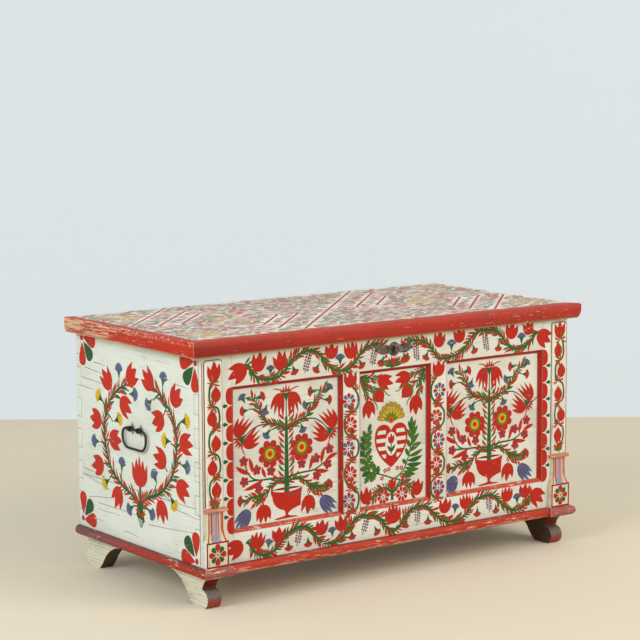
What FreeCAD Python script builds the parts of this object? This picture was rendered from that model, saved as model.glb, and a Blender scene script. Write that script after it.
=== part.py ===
import FreeCAD, Part

import math
import os

# A painted blanket chest: a dovetailed pine box on four bracket feet, with a planted frame,
# fluted corner pilasters, a moulded lid on two strap hinges, two bail handles and a plate lock.
# Millimetres, +Z up, X along the front, and the front faces -Y. The origin is on the floor
# under the middle of the chest.

# Case
case_width = 1180.0
case_depth = 588.0
case_height = 535.0
board_thickness = 22.0
bottom_thickness = 20.0
front_joint_height = 230.0
side_joint_height = 146.0
back_joint_height = 268.0
bottom_plank_count = 3

# Dovetails
tail_count = 6
tail_width = 48.0
first_tail_drop = 49.0
last_tail_rise = 73.5
tail_spread = 4.0

# Planted frame
frame_thickness = 12.0
end_stile_width = 88.0
muntin_width = 52.0
middle_panel_width = 232.0
top_rail_width = 94.0
bottom_rail_width = 80.0
bevel_width = 9.0
bevel_depth = 10.0

# Pilasters
strip_width = 48.0
strip_thickness = 6.0
strip_top_drop = 26.0
strip_arris = 2.0
strip_corner_radius = 6.0
block_width = 64.0
block_height = 63.0
block_projection = 14.0
shaft_projection = 7.0
shaft_height = 72.0
shaft_flare_height = 34.0
flute_count = 3
flute_width = 9.0
flute_floor_width = 5.0
flute_depth = 2.6
flute_pitch = 13.0
flute_foot_margin = 3.0
cap_overhang = 9.0
cap_height = 9.0
cap_projection = 13.0
cap_nose_radius = 3.0

# Lid
lid_side_overhang = 34.0
lid_front_overhang = 20.0
lid_rear_overhang = 2.0
lid_board_thickness = 25.0
lid_plank_count = 3
lid_skirt_drop = 15.0
lid_skirt_clearance = 2.0
lid_curve_height = 24.0
lid_curve_depth = 7.0
lid_arris_radius = 5.0

# Base moulding
base_moulding_projection = 14.0
base_moulding_height = 26.0

# Feet
foot_height = 80.0
foot_thickness = 40.0
foot_inset = 11.0
rear_foot_setback = 12.0
foot_top_setback = -12.0
foot_waist_setback = 25.0
foot_waist_height = 45.0
foot_quirk = 4.0
foot_ball_setback = 1.0
foot_ball_height = 24.0
foot_toe_setback = 15.0
foot_heel_setback = 68.0
foot_knee_run = 29.0
foot_knee_height = 32.0
foot_knee_bow = 2.0
foot_arch_run = 76.0
foot_arch_height = 73.0
foot_arch_bow = 9.0

# Strap hinges
hinge_inset = 190.0
strap_width = 36.0
strap_neck_width = 15.0
strap_thickness = 3.0
strap_tip_radius = 12.0
lid_strap_length = 215.0
case_strap_length = 190.0
knuckle_radius = 6.5
knuckle_clearance = 0.3
hinge_pin_radius = 3.0
hinge_pin_clearance = 0.1
strap_notch_side = 1.0
strap_neck_clearance = 3.0

# Nails
nail_head_half = 4.0
nail_head_height = 2.0
nail_shank_half = 1.5
nail_length = 16.0
nail_clearance = 0.1
nails_per_strap = 4
strap_nail_margin = 16.0
tack_head_half = 2.2
tack_head_height = 1.2
tack_shank_half = 0.9
tack_length = 9.0

# Bail handles
bail_pivot_drop = 232.0
bail_width = 111.5
bail_drop = 49.5
bail_radius = 3.25
bail_side_count = 8
bail_corner_steps = 5
bail_top_corner = 17.0
bail_bottom_corner = 26.0
eye_spacing = 40.0
eye_strip_thickness = 3.0
eye_strip_width = 4.0
eye_clearance = 0.95
eye_leg_half = 2.6
eye_leg_clearance = 0.1
eye_board_gap = 1.6
clinch_length = 16.0
rose_height = 32.0
rose_width = 22.0
rose_thickness = 1.0
bead_radius = 5.2
bead_length = 11.0
bead_gap = 0.8

# Escutcheon and keyhole
keyhole_drop = 43.0
keyhole_radius = 4.5
keyhole_slot_width = 5.0
keyhole_slot_length = 12.0
keyhole_wood_margin = 1.5
escutcheon_drop = 3.0
escutcheon_thickness = 1.2
boss_radius = 18.0
arm_height = 16.0
lobe_half = 12.0
lobe_length = 9.0
lobe_offset = 34.0
tip_radius = 4.5
tip_offset = 56.0
boss_tack_offset = 11.0

# Lock
lock_offset = -6.0
lock_width = 140.0
lock_height = 84.0
lock_top_drop = 7.0
lock_plate_thickness = 2.5
lock_nail_margin = 7.0
bolt_start = -68.0
bolt_end = 22.0
bolt_height = 8.0
bolt_thickness = 6.0
bolt_stand_off = 5.8
bolt_rise = 17.0
talon_width = 12.0
talon_depth = 4.0
guide_offsets = (-57.0, 16.0)
guide_width = 7.0
guide_wall = 3.0
guide_clearance = 0.3
key_bridge_span = 46.0
key_bridge_width = 14.0
key_bridge_wall = 2.5
key_bridge_room = 14.0
key_pin_radius = 3.6
spring_post_radius = 3.0
spring_post_offset = -40.0
spring_tip_offset = -10.0
spring_rise = 5.0
spring_leaf_thickness = 1.2
spring_leaf_width = 5.0
spring_bow = 1.5
spring_clearance = 0.3
hasp_offset = 29.0
hasp_bar_width = 6.0
hasp_leg_thickness = 3.0
hasp_bar_height = 4.0
hasp_clearance = 0.5
hasp_plate_width = 44.0
hasp_plate_length = 40.0
hasp_plate_thickness = 3.0
hasp_nail_margin = 6.0

# Till
till_width = 130.0
till_height = 112.0
till_drop = 23.0
till_thickness = 12.0
till_groove_depth = 6.0

# One overrun for all cuts
overrun = 5.0

# Places that follow from the sizes
half_width = case_width / 2
hinge_stand_off = knuckle_radius + knuckle_clearance
overall_depth = (
    base_moulding_projection
    + block_projection
    + frame_thickness
    + case_depth
    + hinge_stand_off
    + knuckle_radius
)
back_face = overall_depth / 2 - hinge_stand_off - knuckle_radius
board_face = back_face - case_depth
frame_face = board_face - frame_thickness
block_face = frame_face - block_projection
front_inner = board_face + board_thickness
back_inner = back_face - board_thickness
side_inner = half_width - board_thickness
floor_top = foot_height + bottom_thickness
case_top = floor_top + case_height
tail_pitch = (case_height - first_tail_drop - last_tail_rise) / (tail_count - 1)
lid_top = case_top + lid_board_thickness
lid_bottom = case_top - lid_skirt_drop
lid_half_width = half_width + lid_side_overhang
lid_front = frame_face - lid_front_overhang
lid_back = back_face + lid_rear_overhang
pilaster_centre = half_width - block_width / 2
block_top = foot_height + base_moulding_height + block_height
shaft_top = block_top + shaft_height
cap_top = shaft_top + cap_height
hinge_y = back_face + hinge_stand_off
hinge_z = case_top - hinge_stand_off
keyhole_z = case_top - keyhole_drop
bolt_z = keyhole_z + bolt_rise
lock_face = front_inner + lock_plate_thickness
bolt_y = lock_face + bolt_stand_off + bolt_thickness / 2
pivot_z = case_top - bail_pivot_drop
eye_radius = bail_radius + eye_clearance + eye_strip_thickness
pivot_stand_off = eye_board_gap + eye_radius
till_face = till_width - side_inner


# Shapes that many pieces use
def vec(x, y, z):
    return FreeCAD.Vector(x, y, z)


def block(x0, x1, y0, y1, z0, z1):
    return Part.makeBox(x1 - x0, y1 - y0, z1 - z0, vec(x0, y0, z0))


def rod(radius, start, end):
    span = end - start
    return Part.makeCylinder(radius, span.Length, start, span)


def face_of(edges):
    return Part.Face(Part.Wire([edge.toShape() for edge in edges]))


def polygon_face(points):
    return Part.Face(Part.makePolygon(points + points[:1]))


def line(start, end):
    return Part.LineSegment(start, end)


def arc(start, middle, end):
    return Part.Arc(start, middle, end)


def fuse(first, *others):
    return first.fuse(list(others)).removeSplitter()


def cut(first, *others):
    return first.cut(list(others))


def mirror_x(shape):
    return shape.mirror(vec(0, 0, 0), vec(1, 0, 0))


def both_sides(name, right):
    """A right-hand piece and its mirror image on the left."""
    return {f"{name}_right": right, f"{name}_left": mirror_x(right)}


def edges_at_y(shape, y):
    """The edges of a shape that lie in the plane of the given y."""
    small = Part.Precision.confusion()
    return [e for e in shape.Edges if all(abs(v.Y - y) < small for v in e.Vertexes)]


def bow(start, end, rise, across):
    """The middle point of an arc that rises from its chord along the direction across."""
    side = vec(across.x, across.y, across.z).normalize()
    return (start + end) * (1 / 2) + side * rise


def split_board(shape, height, lower_name, upper_name):
    """Cuts a board into two planks at the height of their glue joint."""
    reach = case_width + case_depth
    below = block(-reach, reach, -reach, reach, 0, height)
    return {lower_name: shape.common(below), upper_name: shape.cut(below)}


# Case: front and back with dovetails, sides with the sockets, and the bottom
def tails(y0, y1):
    """The tails at both ends of a front or back board, wider at their outer ends."""
    made = []
    root = tail_width / 2 - tail_spread
    tip = tail_width / 2
    for sign in (-1, 1):
        for n in range(tail_count):
            z = case_top - first_tail_drop - n * tail_pitch
            outline = [
                vec(sign * side_inner, y0, z - root),
                vec(sign * half_width, y0, z - tip),
                vec(sign * half_width, y0, z + tip),
                vec(sign * side_inner, y0, z + root),
            ]
            made.append(polygon_face(outline).extrude(vec(0, y1 - y0, 0)))
    return made


def at_lock(piece):
    """The lock and its keyhole sit a little left of the chest's middle."""
    return piece.translated(vec(lock_offset, 0, 0))


def keyhole(margin, y0, y1):
    """A round eye over a slot, grown all round by a margin."""
    half_slot = keyhole_slot_width / 2 + margin
    foot = keyhole_z - keyhole_slot_length - margin
    eye = rod(keyhole_radius + margin, vec(0, y0, keyhole_z), vec(0, y1, keyhole_z))
    return at_lock(fuse(eye, block(-half_slot, half_slot, y0, y1, foot, keyhole_z)))


def till_boards():
    """The till's side and bottom, housed in grooves in the front and back."""
    y0 = front_inner - till_groove_depth
    y1 = back_inner + till_groove_depth
    top = case_top - till_drop
    foot = top - till_height
    side = block(till_face, till_face + till_thickness, y0, y1, foot, top)
    bottom = block(-side_inner, till_face, y0, y1, foot, foot + till_thickness)
    return side, bottom


def case_boards():
    made = {}
    till_side, till_bottom = till_boards()
    front_tails = tails(board_face, front_inner)
    back_tails = tails(back_inner, back_face)
    front = block(-side_inner, side_inner, board_face, front_inner, floor_top, case_top)
    hole = keyhole(keyhole_wood_margin, board_face - overrun, front_inner + overrun)
    front = fuse(front, *front_tails)
    front = cut(front, hole, till_side, till_bottom, *nail_holes(lock_nail_places()))
    back = block(-side_inner, side_inner, back_inner, back_face, floor_top, case_top)
    back = fuse(back, *back_tails)
    back_holes = nail_holes(case_strap_nail_places())
    back = cut(back, till_side, till_bottom, *strap_notches(), *back_holes)
    front_joint = floor_top + front_joint_height
    back_joint = floor_top + back_joint_height
    side_joint = floor_top + side_joint_height
    made.update(split_board(front, front_joint, "front_board_lower", "front_board_upper"))
    made.update(split_board(back, back_joint, "back_board_lower", "back_board_upper"))
    side = block(side_inner, half_width, board_face, back_face, floor_top, case_top)
    side = cut(side, *front_tails, *back_tails, *staple_holes())
    right = split_board(side, side_joint, "side_board_lower", "side_board_upper")
    for name, board in right.items():
        made.update(both_sides(name, board))
    made["till_side"] = till_side
    made["till_bottom"] = till_bottom
    return made


def bottom_boards():
    plank = (back_face - frame_face) / bottom_plank_count
    made = {}
    for n in range(bottom_plank_count):
        y0 = frame_face + n * plank
        board = block(-half_width, half_width, y0, y0 + plank, foot_height, floor_top)
        made[f"bottom_board_{n + 1}"] = board
    return made


# Planted frame round three sunk panels
def panel_openings():
    """The low x, high x, low z and high z of the panels, at the frame's front face."""
    z0 = floor_top + bottom_rail_width
    z1 = case_top - top_rail_width
    inner = middle_panel_width / 2
    side = inner + muntin_width
    outer = half_width - end_stile_width
    return [(-outer, -side, z0, z1), (-inner, inner, z0, z1), (side, outer, z0, z1)]


def opening_outline(opening, y, inset):
    x0, x1, z0, z1 = opening
    corners = [
        vec(x0 + inset, y, z0 + inset),
        vec(x1 - inset, y, z0 + inset),
        vec(x1 - inset, y, z1 - inset),
        vec(x0 + inset, y, z1 - inset),
    ]
    return Part.makePolygon(corners + corners[:1])


def frame_plate():
    """The whole frame as one plate with three bevelled openings, before it is cut up."""
    plate = block(-half_width, half_width, frame_face, board_face, floor_top, case_top)
    growth = bevel_width * overrun / bevel_depth
    tools = [keyhole(keyhole_wood_margin, frame_face - overrun, board_face + overrun)]
    tools += tack_holes()
    for opening in panel_openings():
        front = opening_outline(opening, frame_face - overrun, -growth)
        back = opening_outline(opening, frame_face + bevel_depth, bevel_width)
        tools.append(Part.makeLoft([front, back], True, True))
        straight = Part.Face(opening_outline(opening, frame_face, bevel_width))
        tools.append(straight.extrude(vec(0, frame_thickness + overrun, 0)))
    return cut(plate, *tools)


def frame_piece(plate, outline):
    """The part of the plate inside an outline given as x and z corners."""
    corners = [vec(x, frame_face - overrun, z) for x, z in outline]
    depth = frame_thickness + 2 * overrun
    return plate.common(polygon_face(corners).extrude(vec(0, depth, 0)))


def rail_outline(edge, inner, far):
    """A rail's outline: straight at its far side, and round the bevels at the openings."""
    outer = half_width - end_stile_width
    outline = [(-outer, far), (outer, far)]
    for x0, x1, _, _ in reversed(panel_openings()):
        outline += [(x1, edge), (x1 - bevel_width, inner), (x0 + bevel_width, inner), (x0, edge)]
    return outline


def planted_frame():
    plate = frame_plate()
    _, outer, z0, z1 = panel_openings()[-1]
    low = z0 + bevel_width
    high = z1 - bevel_width
    foot = floor_top - overrun
    head = case_top + overrun
    edge = half_width + overrun
    stile = [(outer, foot), (edge, foot), (edge, head), (outer, head), (outer, z1)]
    stile += [(outer - bevel_width, high), (outer - bevel_width, low), (outer, z0)]
    made = both_sides("frame_stile", frame_piece(plate, stile))
    inner = middle_panel_width / 2
    side = inner + muntin_width
    muntin = [(inner, z0), (side, z0), (side + bevel_width, low), (side + bevel_width, high)]
    muntin += [(side, z1), (inner, z1), (inner - bevel_width, high), (inner - bevel_width, low)]
    made.update(both_sides("frame_muntin", frame_piece(plate, muntin)))
    made["frame_top_rail"] = frame_piece(plate, rail_outline(z1, high, head))
    made["frame_bottom_rail"] = frame_piece(plate, rail_outline(z0, low, foot))
    return made


# Pilasters: a fluted console on a block, a cap, and a raised strip
def flare_radius(spread):
    """The radius of an arc that leaves a vertical line and spreads over the flare's height."""
    return (spread**2 + shaft_flare_height**2) / (2 * spread)


def flare(start, out, spread, drop):
    """A tangent arc down from start that bends towards the direction out."""
    radius = flare_radius(spread)
    turn = math.asin(min(drop / radius, 1))
    points = []
    for angle in (turn / 2, turn):
        shift = out * (radius * (1 - math.cos(angle)))
        points.append(start + shift - vec(0, 0, radius * math.sin(angle)))
    return arc(start, points[0], points[1])


def shaft():
    """The console's shaft: it spreads forwards and to both sides on its way down."""
    bend_z = block_top + shaft_flare_height
    face_y = frame_face - shaft_projection
    forward = flare(
        vec(-block_width / 2, face_y, bend_z),
        vec(0, -1, 0),
        block_projection - shaft_projection,
        shaft_flare_height,
    )
    top = vec(-block_width / 2, face_y, shaft_top)
    back_top = vec(-block_width / 2, frame_face, shaft_top)
    back_foot = vec(-block_width / 2, frame_face, block_top)
    side_view = face_of(
        [
            line(top, forward.StartPoint),
            forward,
            line(forward.EndPoint, back_foot),
            line(back_foot, back_top),
            line(back_top, top),
        ]
    ).extrude(vec(block_width, 0, 0))
    y = block_face - overrun
    half_strip = strip_width / 2
    spread = (block_width - strip_width) / 2
    right = flare(vec(half_strip, y, bend_z), vec(1, 0, 0), spread, shaft_flare_height)
    left = flare(vec(-half_strip, y, bend_z), vec(-1, 0, 0), spread, shaft_flare_height)
    head_right = vec(half_strip, y, shaft_top)
    head_left = vec(-half_strip, y, shaft_top)
    front_view = face_of(
        [
            line(head_left, left.StartPoint),
            left,
            line(left.EndPoint, right.EndPoint),
            arc(right.EndPoint, right.value(mean_parameter(right)), right.StartPoint),
            line(right.StartPoint, head_right),
            line(head_right, head_left),
        ]
    ).extrude(vec(0, block_projection + 2 * overrun, 0))
    return side_view.common(front_view)


def mean_parameter(curve):
    return (curve.FirstParameter + curve.LastParameter) / 2


def flutes():
    """Flutes with sloping walls, which follow the shaft's face and stop short of the block."""
    made = []
    face_y = frame_face - shaft_projection
    drop = shaft_flare_height - flute_foot_margin
    wall_slope = (flute_width - flute_floor_width) / flute_depth
    mouth = flute_width + wall_slope * overrun
    for n in range(flute_count):
        x = (n - (flute_count - 1) / 2) * flute_pitch
        bend = vec(x, face_y, block_top + shaft_flare_height)
        spread = block_projection - shaft_projection
        curve = flare(bend, vec(0, -1, 0), spread, drop)
        head = vec(x, face_y, shaft_top + overrun)
        path = Part.Wire([line(head, bend).toShape(), curve.toShape()])
        section = [
            head + vec(-mouth / 2, -overrun, 0),
            head + vec(mouth / 2, -overrun, 0),
            head + vec(flute_floor_width / 2, flute_depth, 0),
            head + vec(-flute_floor_width / 2, flute_depth, 0),
        ]
        made.append(path.makePipeShell([Part.makePolygon(section + section[:1])], True, False))
    return made


def console():
    half = block_width / 2
    base = block(-half, half, block_face, frame_face, foot_height, block_top)
    return cut(fuse(base, shaft()), *flutes())


def cap():
    half = strip_width / 2 + cap_overhang
    face_y = frame_face - cap_projection
    body = block(-half, half, face_y, frame_face, shaft_top, cap_top)
    small = Part.Precision.confusion()
    nose = [
        e
        for e in body.Edges
        if abs(e.Vertexes[0].Z - e.Vertexes[1].Z) < small
        and any(abs(v.Y - face_y) < small for v in e.Vertexes)
    ]
    return body.makeFillet(cap_nose_radius, nose)


def strip():
    """The raised strip, with rounded top corners and a softened front arris."""
    half = strip_width / 2
    face_y = frame_face - strip_thickness
    body = block(-half, half, face_y, frame_face, cap_top, case_top - strip_top_drop)
    small = Part.Precision.confusion()
    corners = [
        e
        for e in body.Edges
        if all(abs(v.Z - case_top + strip_top_drop) < small for v in e.Vertexes)
        and abs(e.Vertexes[0].X - e.Vertexes[1].X) < small
    ]
    body = body.makeFillet(strip_corner_radius, corners)
    return body.makeChamfer(strip_arris, edges_at_y(body, face_y))


def pilasters():
    made = {}
    pieces = (("pilaster_console", console()), ("pilaster_cap", cap()), ("pilaster_strip", strip()))
    for name, piece in pieces:
        made.update(both_sides(name, piece.translated(vec(pilaster_centre, 0, 0))))
    return made


# Mouldings: each run is its profile drawn along the run and cut to its mitres
def base_profile(place):
    """The worn round of the base moulding; place turns (out, up) into a point."""
    nose = base_moulding_height / 2
    flat = base_moulding_projection - nose
    top_start = place(flat, base_moulding_height)
    tip = place(base_moulding_projection, nose)
    foot_end = place(flat, 0)
    return face_of(
        [
            line(place(0, base_moulding_height), top_start),
            arc(top_start, tip, foot_end),
            line(foot_end, place(0, 0)),
            line(place(0, 0), place(0, base_moulding_height)),
        ]
    )


def plan_zone(corners, z0, z1):
    return polygon_face([vec(x, y, z0) for x, y in corners]).extrude(vec(0, 0, z1 - z0))


def base_zone(corners):
    foot = foot_height - overrun
    return plan_zone(corners, foot, foot_height + base_moulding_height + overrun)


def base_run_along_x(y, x0, x1):
    profile = base_profile(lambda out, up: vec(x0, y - out, foot_height + up))
    return profile.extrude(vec(x1 - x0, 0, 0))


def base_run_along_y(x, y0, y1):
    """A run on a face that looks along +X."""
    profile = base_profile(lambda out, up: vec(x + out, y0, foot_height + up))
    return profile.extrude(vec(0, y1 - y0, 0))


def base_mouldings():
    """A front run between the blocks, a broken-out run round each block, and side runs."""
    reach = base_moulding_projection + overrun
    inner = half_width - block_width
    outer = half_width
    front = base_run_along_x(frame_face, -inner, inner)
    front_zone = [(-inner, frame_face), (inner, frame_face)]
    front_zone += [(inner - reach, frame_face - reach), (reach - inner, frame_face - reach)]
    corner = base_run_along_x(block_face, inner - reach, outer + reach)
    corner_zone = [(inner, block_face), (outer, block_face)]
    corner_zone += [(outer + reach, block_face - reach), (inner - reach, block_face - reach)]
    back_turned = base_run_along_y(-inner, block_face - reach, frame_face)
    return_zone = [(-inner, frame_face), (-inner, block_face)]
    return_zone += [(reach - inner, block_face - reach), (reach - inner, frame_face - reach)]
    broken = mirror_x(back_turned.common(base_zone(return_zone)))
    side = base_run_along_y(half_width, block_face - reach, back_face)
    side_zone = [(outer, block_face), (outer + reach, block_face - reach)]
    side_zone += [(outer + reach, back_face), (outer, back_face)]
    made = {"base_moulding_front": front.common(base_zone(front_zone))}
    corner_piece = fuse(corner.common(base_zone(corner_zone)), broken)
    made.update(both_sides("base_moulding_corner", corner_piece))
    made.update(both_sides("base_moulding_side", side.common(base_zone(side_zone))))
    return made


def lid_profile(place, thickness):
    """The lid's edge: a softened top arris, an upright face and a curve in at the bottom."""
    height = lid_top - lid_bottom
    radius = (lid_curve_depth**2 + lid_curve_height**2) / (2 * lid_curve_depth)
    half_turn = math.asin(lid_curve_height / radius) / 2
    curve_in = thickness - radius * (1 - math.cos(half_turn))
    curve_down = lid_curve_height - radius * math.sin(half_turn)
    arris_middle = lid_arris_radius * (1 - math.sin(math.pi / 4))
    top_inner = place(0, height)
    arris_start = place(thickness - lid_arris_radius, height)
    arris_mid = place(thickness - arris_middle, height - arris_middle)
    arris_end = place(thickness, height - lid_arris_radius)
    curve_start = place(thickness, lid_curve_height)
    foot_outer = place(thickness - lid_curve_depth, 0)
    return face_of(
        [
            line(top_inner, arris_start),
            arc(arris_start, arris_mid, arris_end),
            line(arris_end, curve_start),
            arc(curve_start, place(curve_in, curve_down), foot_outer),
            line(foot_outer, place(0, 0)),
            line(place(0, 0), top_inner),
        ]
    )


def lid_mouldings():
    """Front and side edges, mitred at the front corners and lapping down over the case."""
    front_thickness = lid_front_overhang - lid_skirt_clearance
    side_thickness = lid_side_overhang - lid_skirt_clearance
    front_back = lid_front + front_thickness
    side_in = lid_half_width - side_thickness
    shoulder = lid_half_width - front_thickness
    foot = lid_bottom - overrun
    head = lid_top + overrun
    front = lid_profile(
        lambda out, up: vec(-lid_half_width, front_back - out, lid_bottom + up), front_thickness
    ).extrude(vec(2 * lid_half_width, 0, 0))
    front_zone = [(-lid_half_width, lid_front), (lid_half_width, lid_front)]
    front_zone += [(shoulder, front_back), (-shoulder, front_back)]
    side = lid_profile(
        lambda out, up: vec(side_in + out, lid_front, lid_bottom + up), side_thickness
    ).extrude(vec(0, lid_back - lid_front, 0))
    side_zone = [(lid_half_width, lid_front), (lid_half_width, lid_back), (side_in, lid_back)]
    side_zone += [(side_in, front_back), (shoulder, front_back)]
    made = {"lid_moulding_front": front.common(plan_zone(front_zone, foot, head))}
    right = side.common(plan_zone(side_zone, foot, head))
    made.update(both_sides("lid_moulding", right))
    return made


def lid_boards():
    y_front = frame_face - lid_skirt_clearance
    half = half_width + lid_skirt_clearance
    plank = (lid_back - y_front) / lid_plank_count
    holes = nail_holes(lid_strap_nail_places() + hasp_nail_places())
    made = {}
    for n in range(lid_plank_count):
        y0 = y_front + n * plank
        board = block(-half, half, y0, y0 + plank, case_top, lid_top)
        made[f"lid_board_{n + 1}"] = cut(board, *holes)
    return made


# Feet: sawn from thick board, with a scroll in front and a cyma behind
def foot_outline():
    """The front foot's side view; out is measured back from the face of the frame."""

    def at(back, up):
        return vec(half_width - foot_inset - foot_thickness, frame_face + back, up)

    top = at(foot_top_setback, foot_height)
    waist = at(foot_waist_setback, foot_waist_height)
    quirk = at(foot_waist_setback - foot_quirk, foot_waist_height)
    ball = at(foot_ball_setback, foot_ball_height)
    toe = at(foot_toe_setback, 0)
    heel = at(foot_heel_setback, 0)
    knee = at(foot_heel_setback + foot_knee_run, foot_knee_height)
    arch_end_setback = foot_heel_setback + foot_knee_run + foot_arch_run
    arch = at(arch_end_setback, foot_arch_height)
    heel_top = at(arch_end_setback, foot_height)
    cove_bow = (foot_height - foot_waist_height) / 4
    return face_of(
        [
            arc(top, bow(top, waist, cove_bow, vec(0, 1, 1)), waist),
            line(waist, quirk),
            arc(quirk, ball, toe),
            line(toe, heel),
            arc(heel, bow(heel, knee, foot_knee_bow, vec(0, 1, -1)), knee),
            arc(knee, bow(knee, arch, foot_arch_bow, vec(0, -1, 1)), arch),
            line(arch, heel_top),
            line(heel_top, top),
        ]
    )


def feet():
    front = foot_outline().extrude(vec(foot_thickness, 0, 0))
    middle_y = (frame_face + back_face) / 2
    rear = front.mirror(vec(0, middle_y, 0), vec(0, 1, 0))
    rear = rear.translated(vec(0, -rear_foot_setback, 0))
    made = both_sides("foot_front", front)
    made.update(both_sides("foot_rear", rear))
    return made


# Strap hinges: the lid's strap turns on the middle knuckle, the case's on the outer two
def hinge_centres():
    return (hinge_inset - half_width, half_width - hinge_inset)


def knuckle(x0, x1):
    return rod(knuckle_radius, vec(x0, hinge_y, hinge_z), vec(x1, hinge_y, hinge_z))


def pin_bore(x):
    reach = strap_width / 2 + overrun
    radius = hinge_pin_radius + hinge_pin_clearance
    return rod(radius, vec(x - reach, hinge_y, hinge_z), vec(x + reach, hinge_y, hinge_z))


def lid_strap(x):
    """A flat strap under the lid that narrows to a neck and rolls round the pin."""
    under = case_top - strap_thickness
    half_neck = strap_neck_width / 2
    half = strap_width / 2
    neck_end = back_inner - strap_neck_clearance
    tip_y = back_inner - lid_strap_length
    shoulder = strap_tip_radius
    outline = [
        vec(x - half_neck, hinge_y, under),
        vec(x + half_neck, hinge_y, under),
        vec(x + half_neck, neck_end, under),
        vec(x + half, neck_end - shoulder, under),
        vec(x + strap_tip_radius, tip_y, under),
        vec(x - strap_tip_radius, tip_y, under),
        vec(x - half, neck_end - shoulder, under),
        vec(x - half_neck, neck_end, under),
    ]
    plate = polygon_face(outline).extrude(vec(0, 0, strap_thickness))
    tip = rod(strap_tip_radius, vec(x, tip_y, under), vec(x, tip_y, case_top))
    body = fuse(plate, tip, knuckle(x - half_neck, x + half_neck))
    return cut(body, pin_bore(x), *nail_holes(lid_strap_nail_places()))


def case_strap(x):
    """A flat strap down the back, forked at the top round the lid's knuckle."""
    outer = back_face + strap_thickness
    half = strap_width / 2
    tip_z = hinge_z - case_strap_length
    outline = [
        vec(x - half, back_face, hinge_z),
        vec(x + half, back_face, hinge_z),
        vec(x + strap_tip_radius, back_face, tip_z),
        vec(x - strap_tip_radius, back_face, tip_z),
    ]
    plate = polygon_face(outline).extrude(vec(0, strap_thickness, 0))
    tip = rod(strap_tip_radius, vec(x, back_face, tip_z), vec(x, outer, tip_z))
    gap = strap_neck_width / 2 + knuckle_clearance
    room = knuckle_radius + knuckle_clearance
    fork_end = hinge_y + room
    fork = block(
        x - gap, x + gap, back_face - overrun, fork_end, hinge_z - room, hinge_z + room
    )
    body = fuse(plate, tip, knuckle(x - half, x + half))
    return cut(body, fork, pin_bore(x), *nail_holes(case_strap_nail_places()))


def hinge_pin(x):
    half = strap_width / 2
    return rod(hinge_pin_radius, vec(x - half, hinge_y, hinge_z), vec(x + half, hinge_y, hinge_z))


def strap_notches():
    """Notches in the back's top edge that the lid straps' necks drop into."""
    half = strap_neck_width / 2 + strap_notch_side
    floor = case_top - strap_thickness - knuckle_clearance
    y0 = back_inner - overrun
    y1 = back_face + overrun
    return [
        block(x - half, x + half, y0, y1, floor, case_top + overrun) for x in hinge_centres()
    ]


def hinges():
    made = {}
    for side, x in zip(("left", "right"), hinge_centres()):
        made[f"lid_strap_{side}"] = lid_strap(x)
        made[f"case_strap_{side}"] = case_strap(x)
        made[f"hinge_pin_{side}"] = hinge_pin(x)
    return made


# Wrought nails: each place is the point under the head and the direction of the shank
def square_across(point, into, half):
    """The corners of a square round a point, across the direction of a nail."""
    side = into.cross(vec(1, 0, 0)) * half
    other = vec(half, 0, 0)
    return [point + side + other, point + side - other, point - side - other, point - side + other]


def square_rod(half, start, end):
    into = (end - start).normalize()
    return polygon_face(square_across(start, into, half)).extrude(end - start)


def nail(place, head_half, head_height, shank_half, length):
    """A square shank under a head with four hammered facets."""
    point, into = place
    low = square_across(point, into, head_half)
    high = square_across(point - into * head_height, into, head_half / 2)
    faces = [polygon_face(low), polygon_face(high)]
    for n, corner in enumerate(low):
        faces.append(polygon_face([corner, low[n - 1], high[n - 1], high[n]]))
    head = Part.Solid(Part.Shell(faces))
    return fuse(head, square_rod(shank_half, point, point + into * length))


def nail_holes(places):
    half = nail_shank_half + nail_clearance
    return [square_rod(half, p - into * overrun, p + into * nail_length) for p, into in places]


def nails(places):
    made = [
        nail(p, nail_head_half, nail_head_height, nail_shank_half, nail_length)
        for p in places
    ]
    return Part.makeCompound(made)


def along(start, end, count):
    return [start + (end - start) * (n / (count - 1)) for n in range(count)]


def case_strap_nail_places():
    outer = back_face + strap_thickness
    top = hinge_z - knuckle_radius - strap_nail_margin
    tip = hinge_z - case_strap_length
    places = []
    for x in hinge_centres():
        for point in along(vec(x, outer, top), vec(x, outer, tip), nails_per_strap):
            places.append((point, vec(0, -1, 0)))
    return places


def lid_strap_nail_places():
    under = case_top - strap_thickness
    start = back_inner - strap_neck_clearance - strap_tip_radius - strap_nail_margin
    tip = back_inner - lid_strap_length
    places = []
    for x in hinge_centres():
        for point in along(vec(x, start, under), vec(x, tip, under), nails_per_strap):
            places.append((point, vec(0, 0, 1)))
    return places


def hasp_nail_places():
    under = case_top - hasp_plate_thickness
    x = hasp_plate_width / 2 - hasp_nail_margin
    y = hasp_plate_length / 2 - hasp_nail_margin
    places = []
    for dx in (-x, x):
        for dy in (-y, y):
            x_nail = lock_offset + hasp_offset + dx
            point = vec(x_nail, bolt_y + hasp_plate_shift() + dy, under)
            places.append((point, vec(0, 0, 1)))
    return places


def lock_nail_places():
    x = lock_width / 2 - lock_nail_margin
    top = case_top - lock_top_drop - lock_nail_margin
    foot = case_top - lock_top_drop - lock_height + lock_nail_margin
    places = []
    for px in (-x, x):
        for pz in (foot, top):
            places.append((vec(lock_offset + px, lock_face, pz), vec(0, -1, 0)))
    return places


def fixings():
    made = {"case_nails": nails(case_strap_nail_places() + lock_nail_places())}
    made["lid_nails"] = nails(lid_strap_nail_places() + hasp_nail_places())
    return made


# Bail handles: a closed bail in two split eyes that pass through the side and are clinched
def eye_places():
    return (-eye_spacing / 2, eye_spacing / 2)


def handle_middle():
    return (frame_face + back_face) / 2


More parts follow.
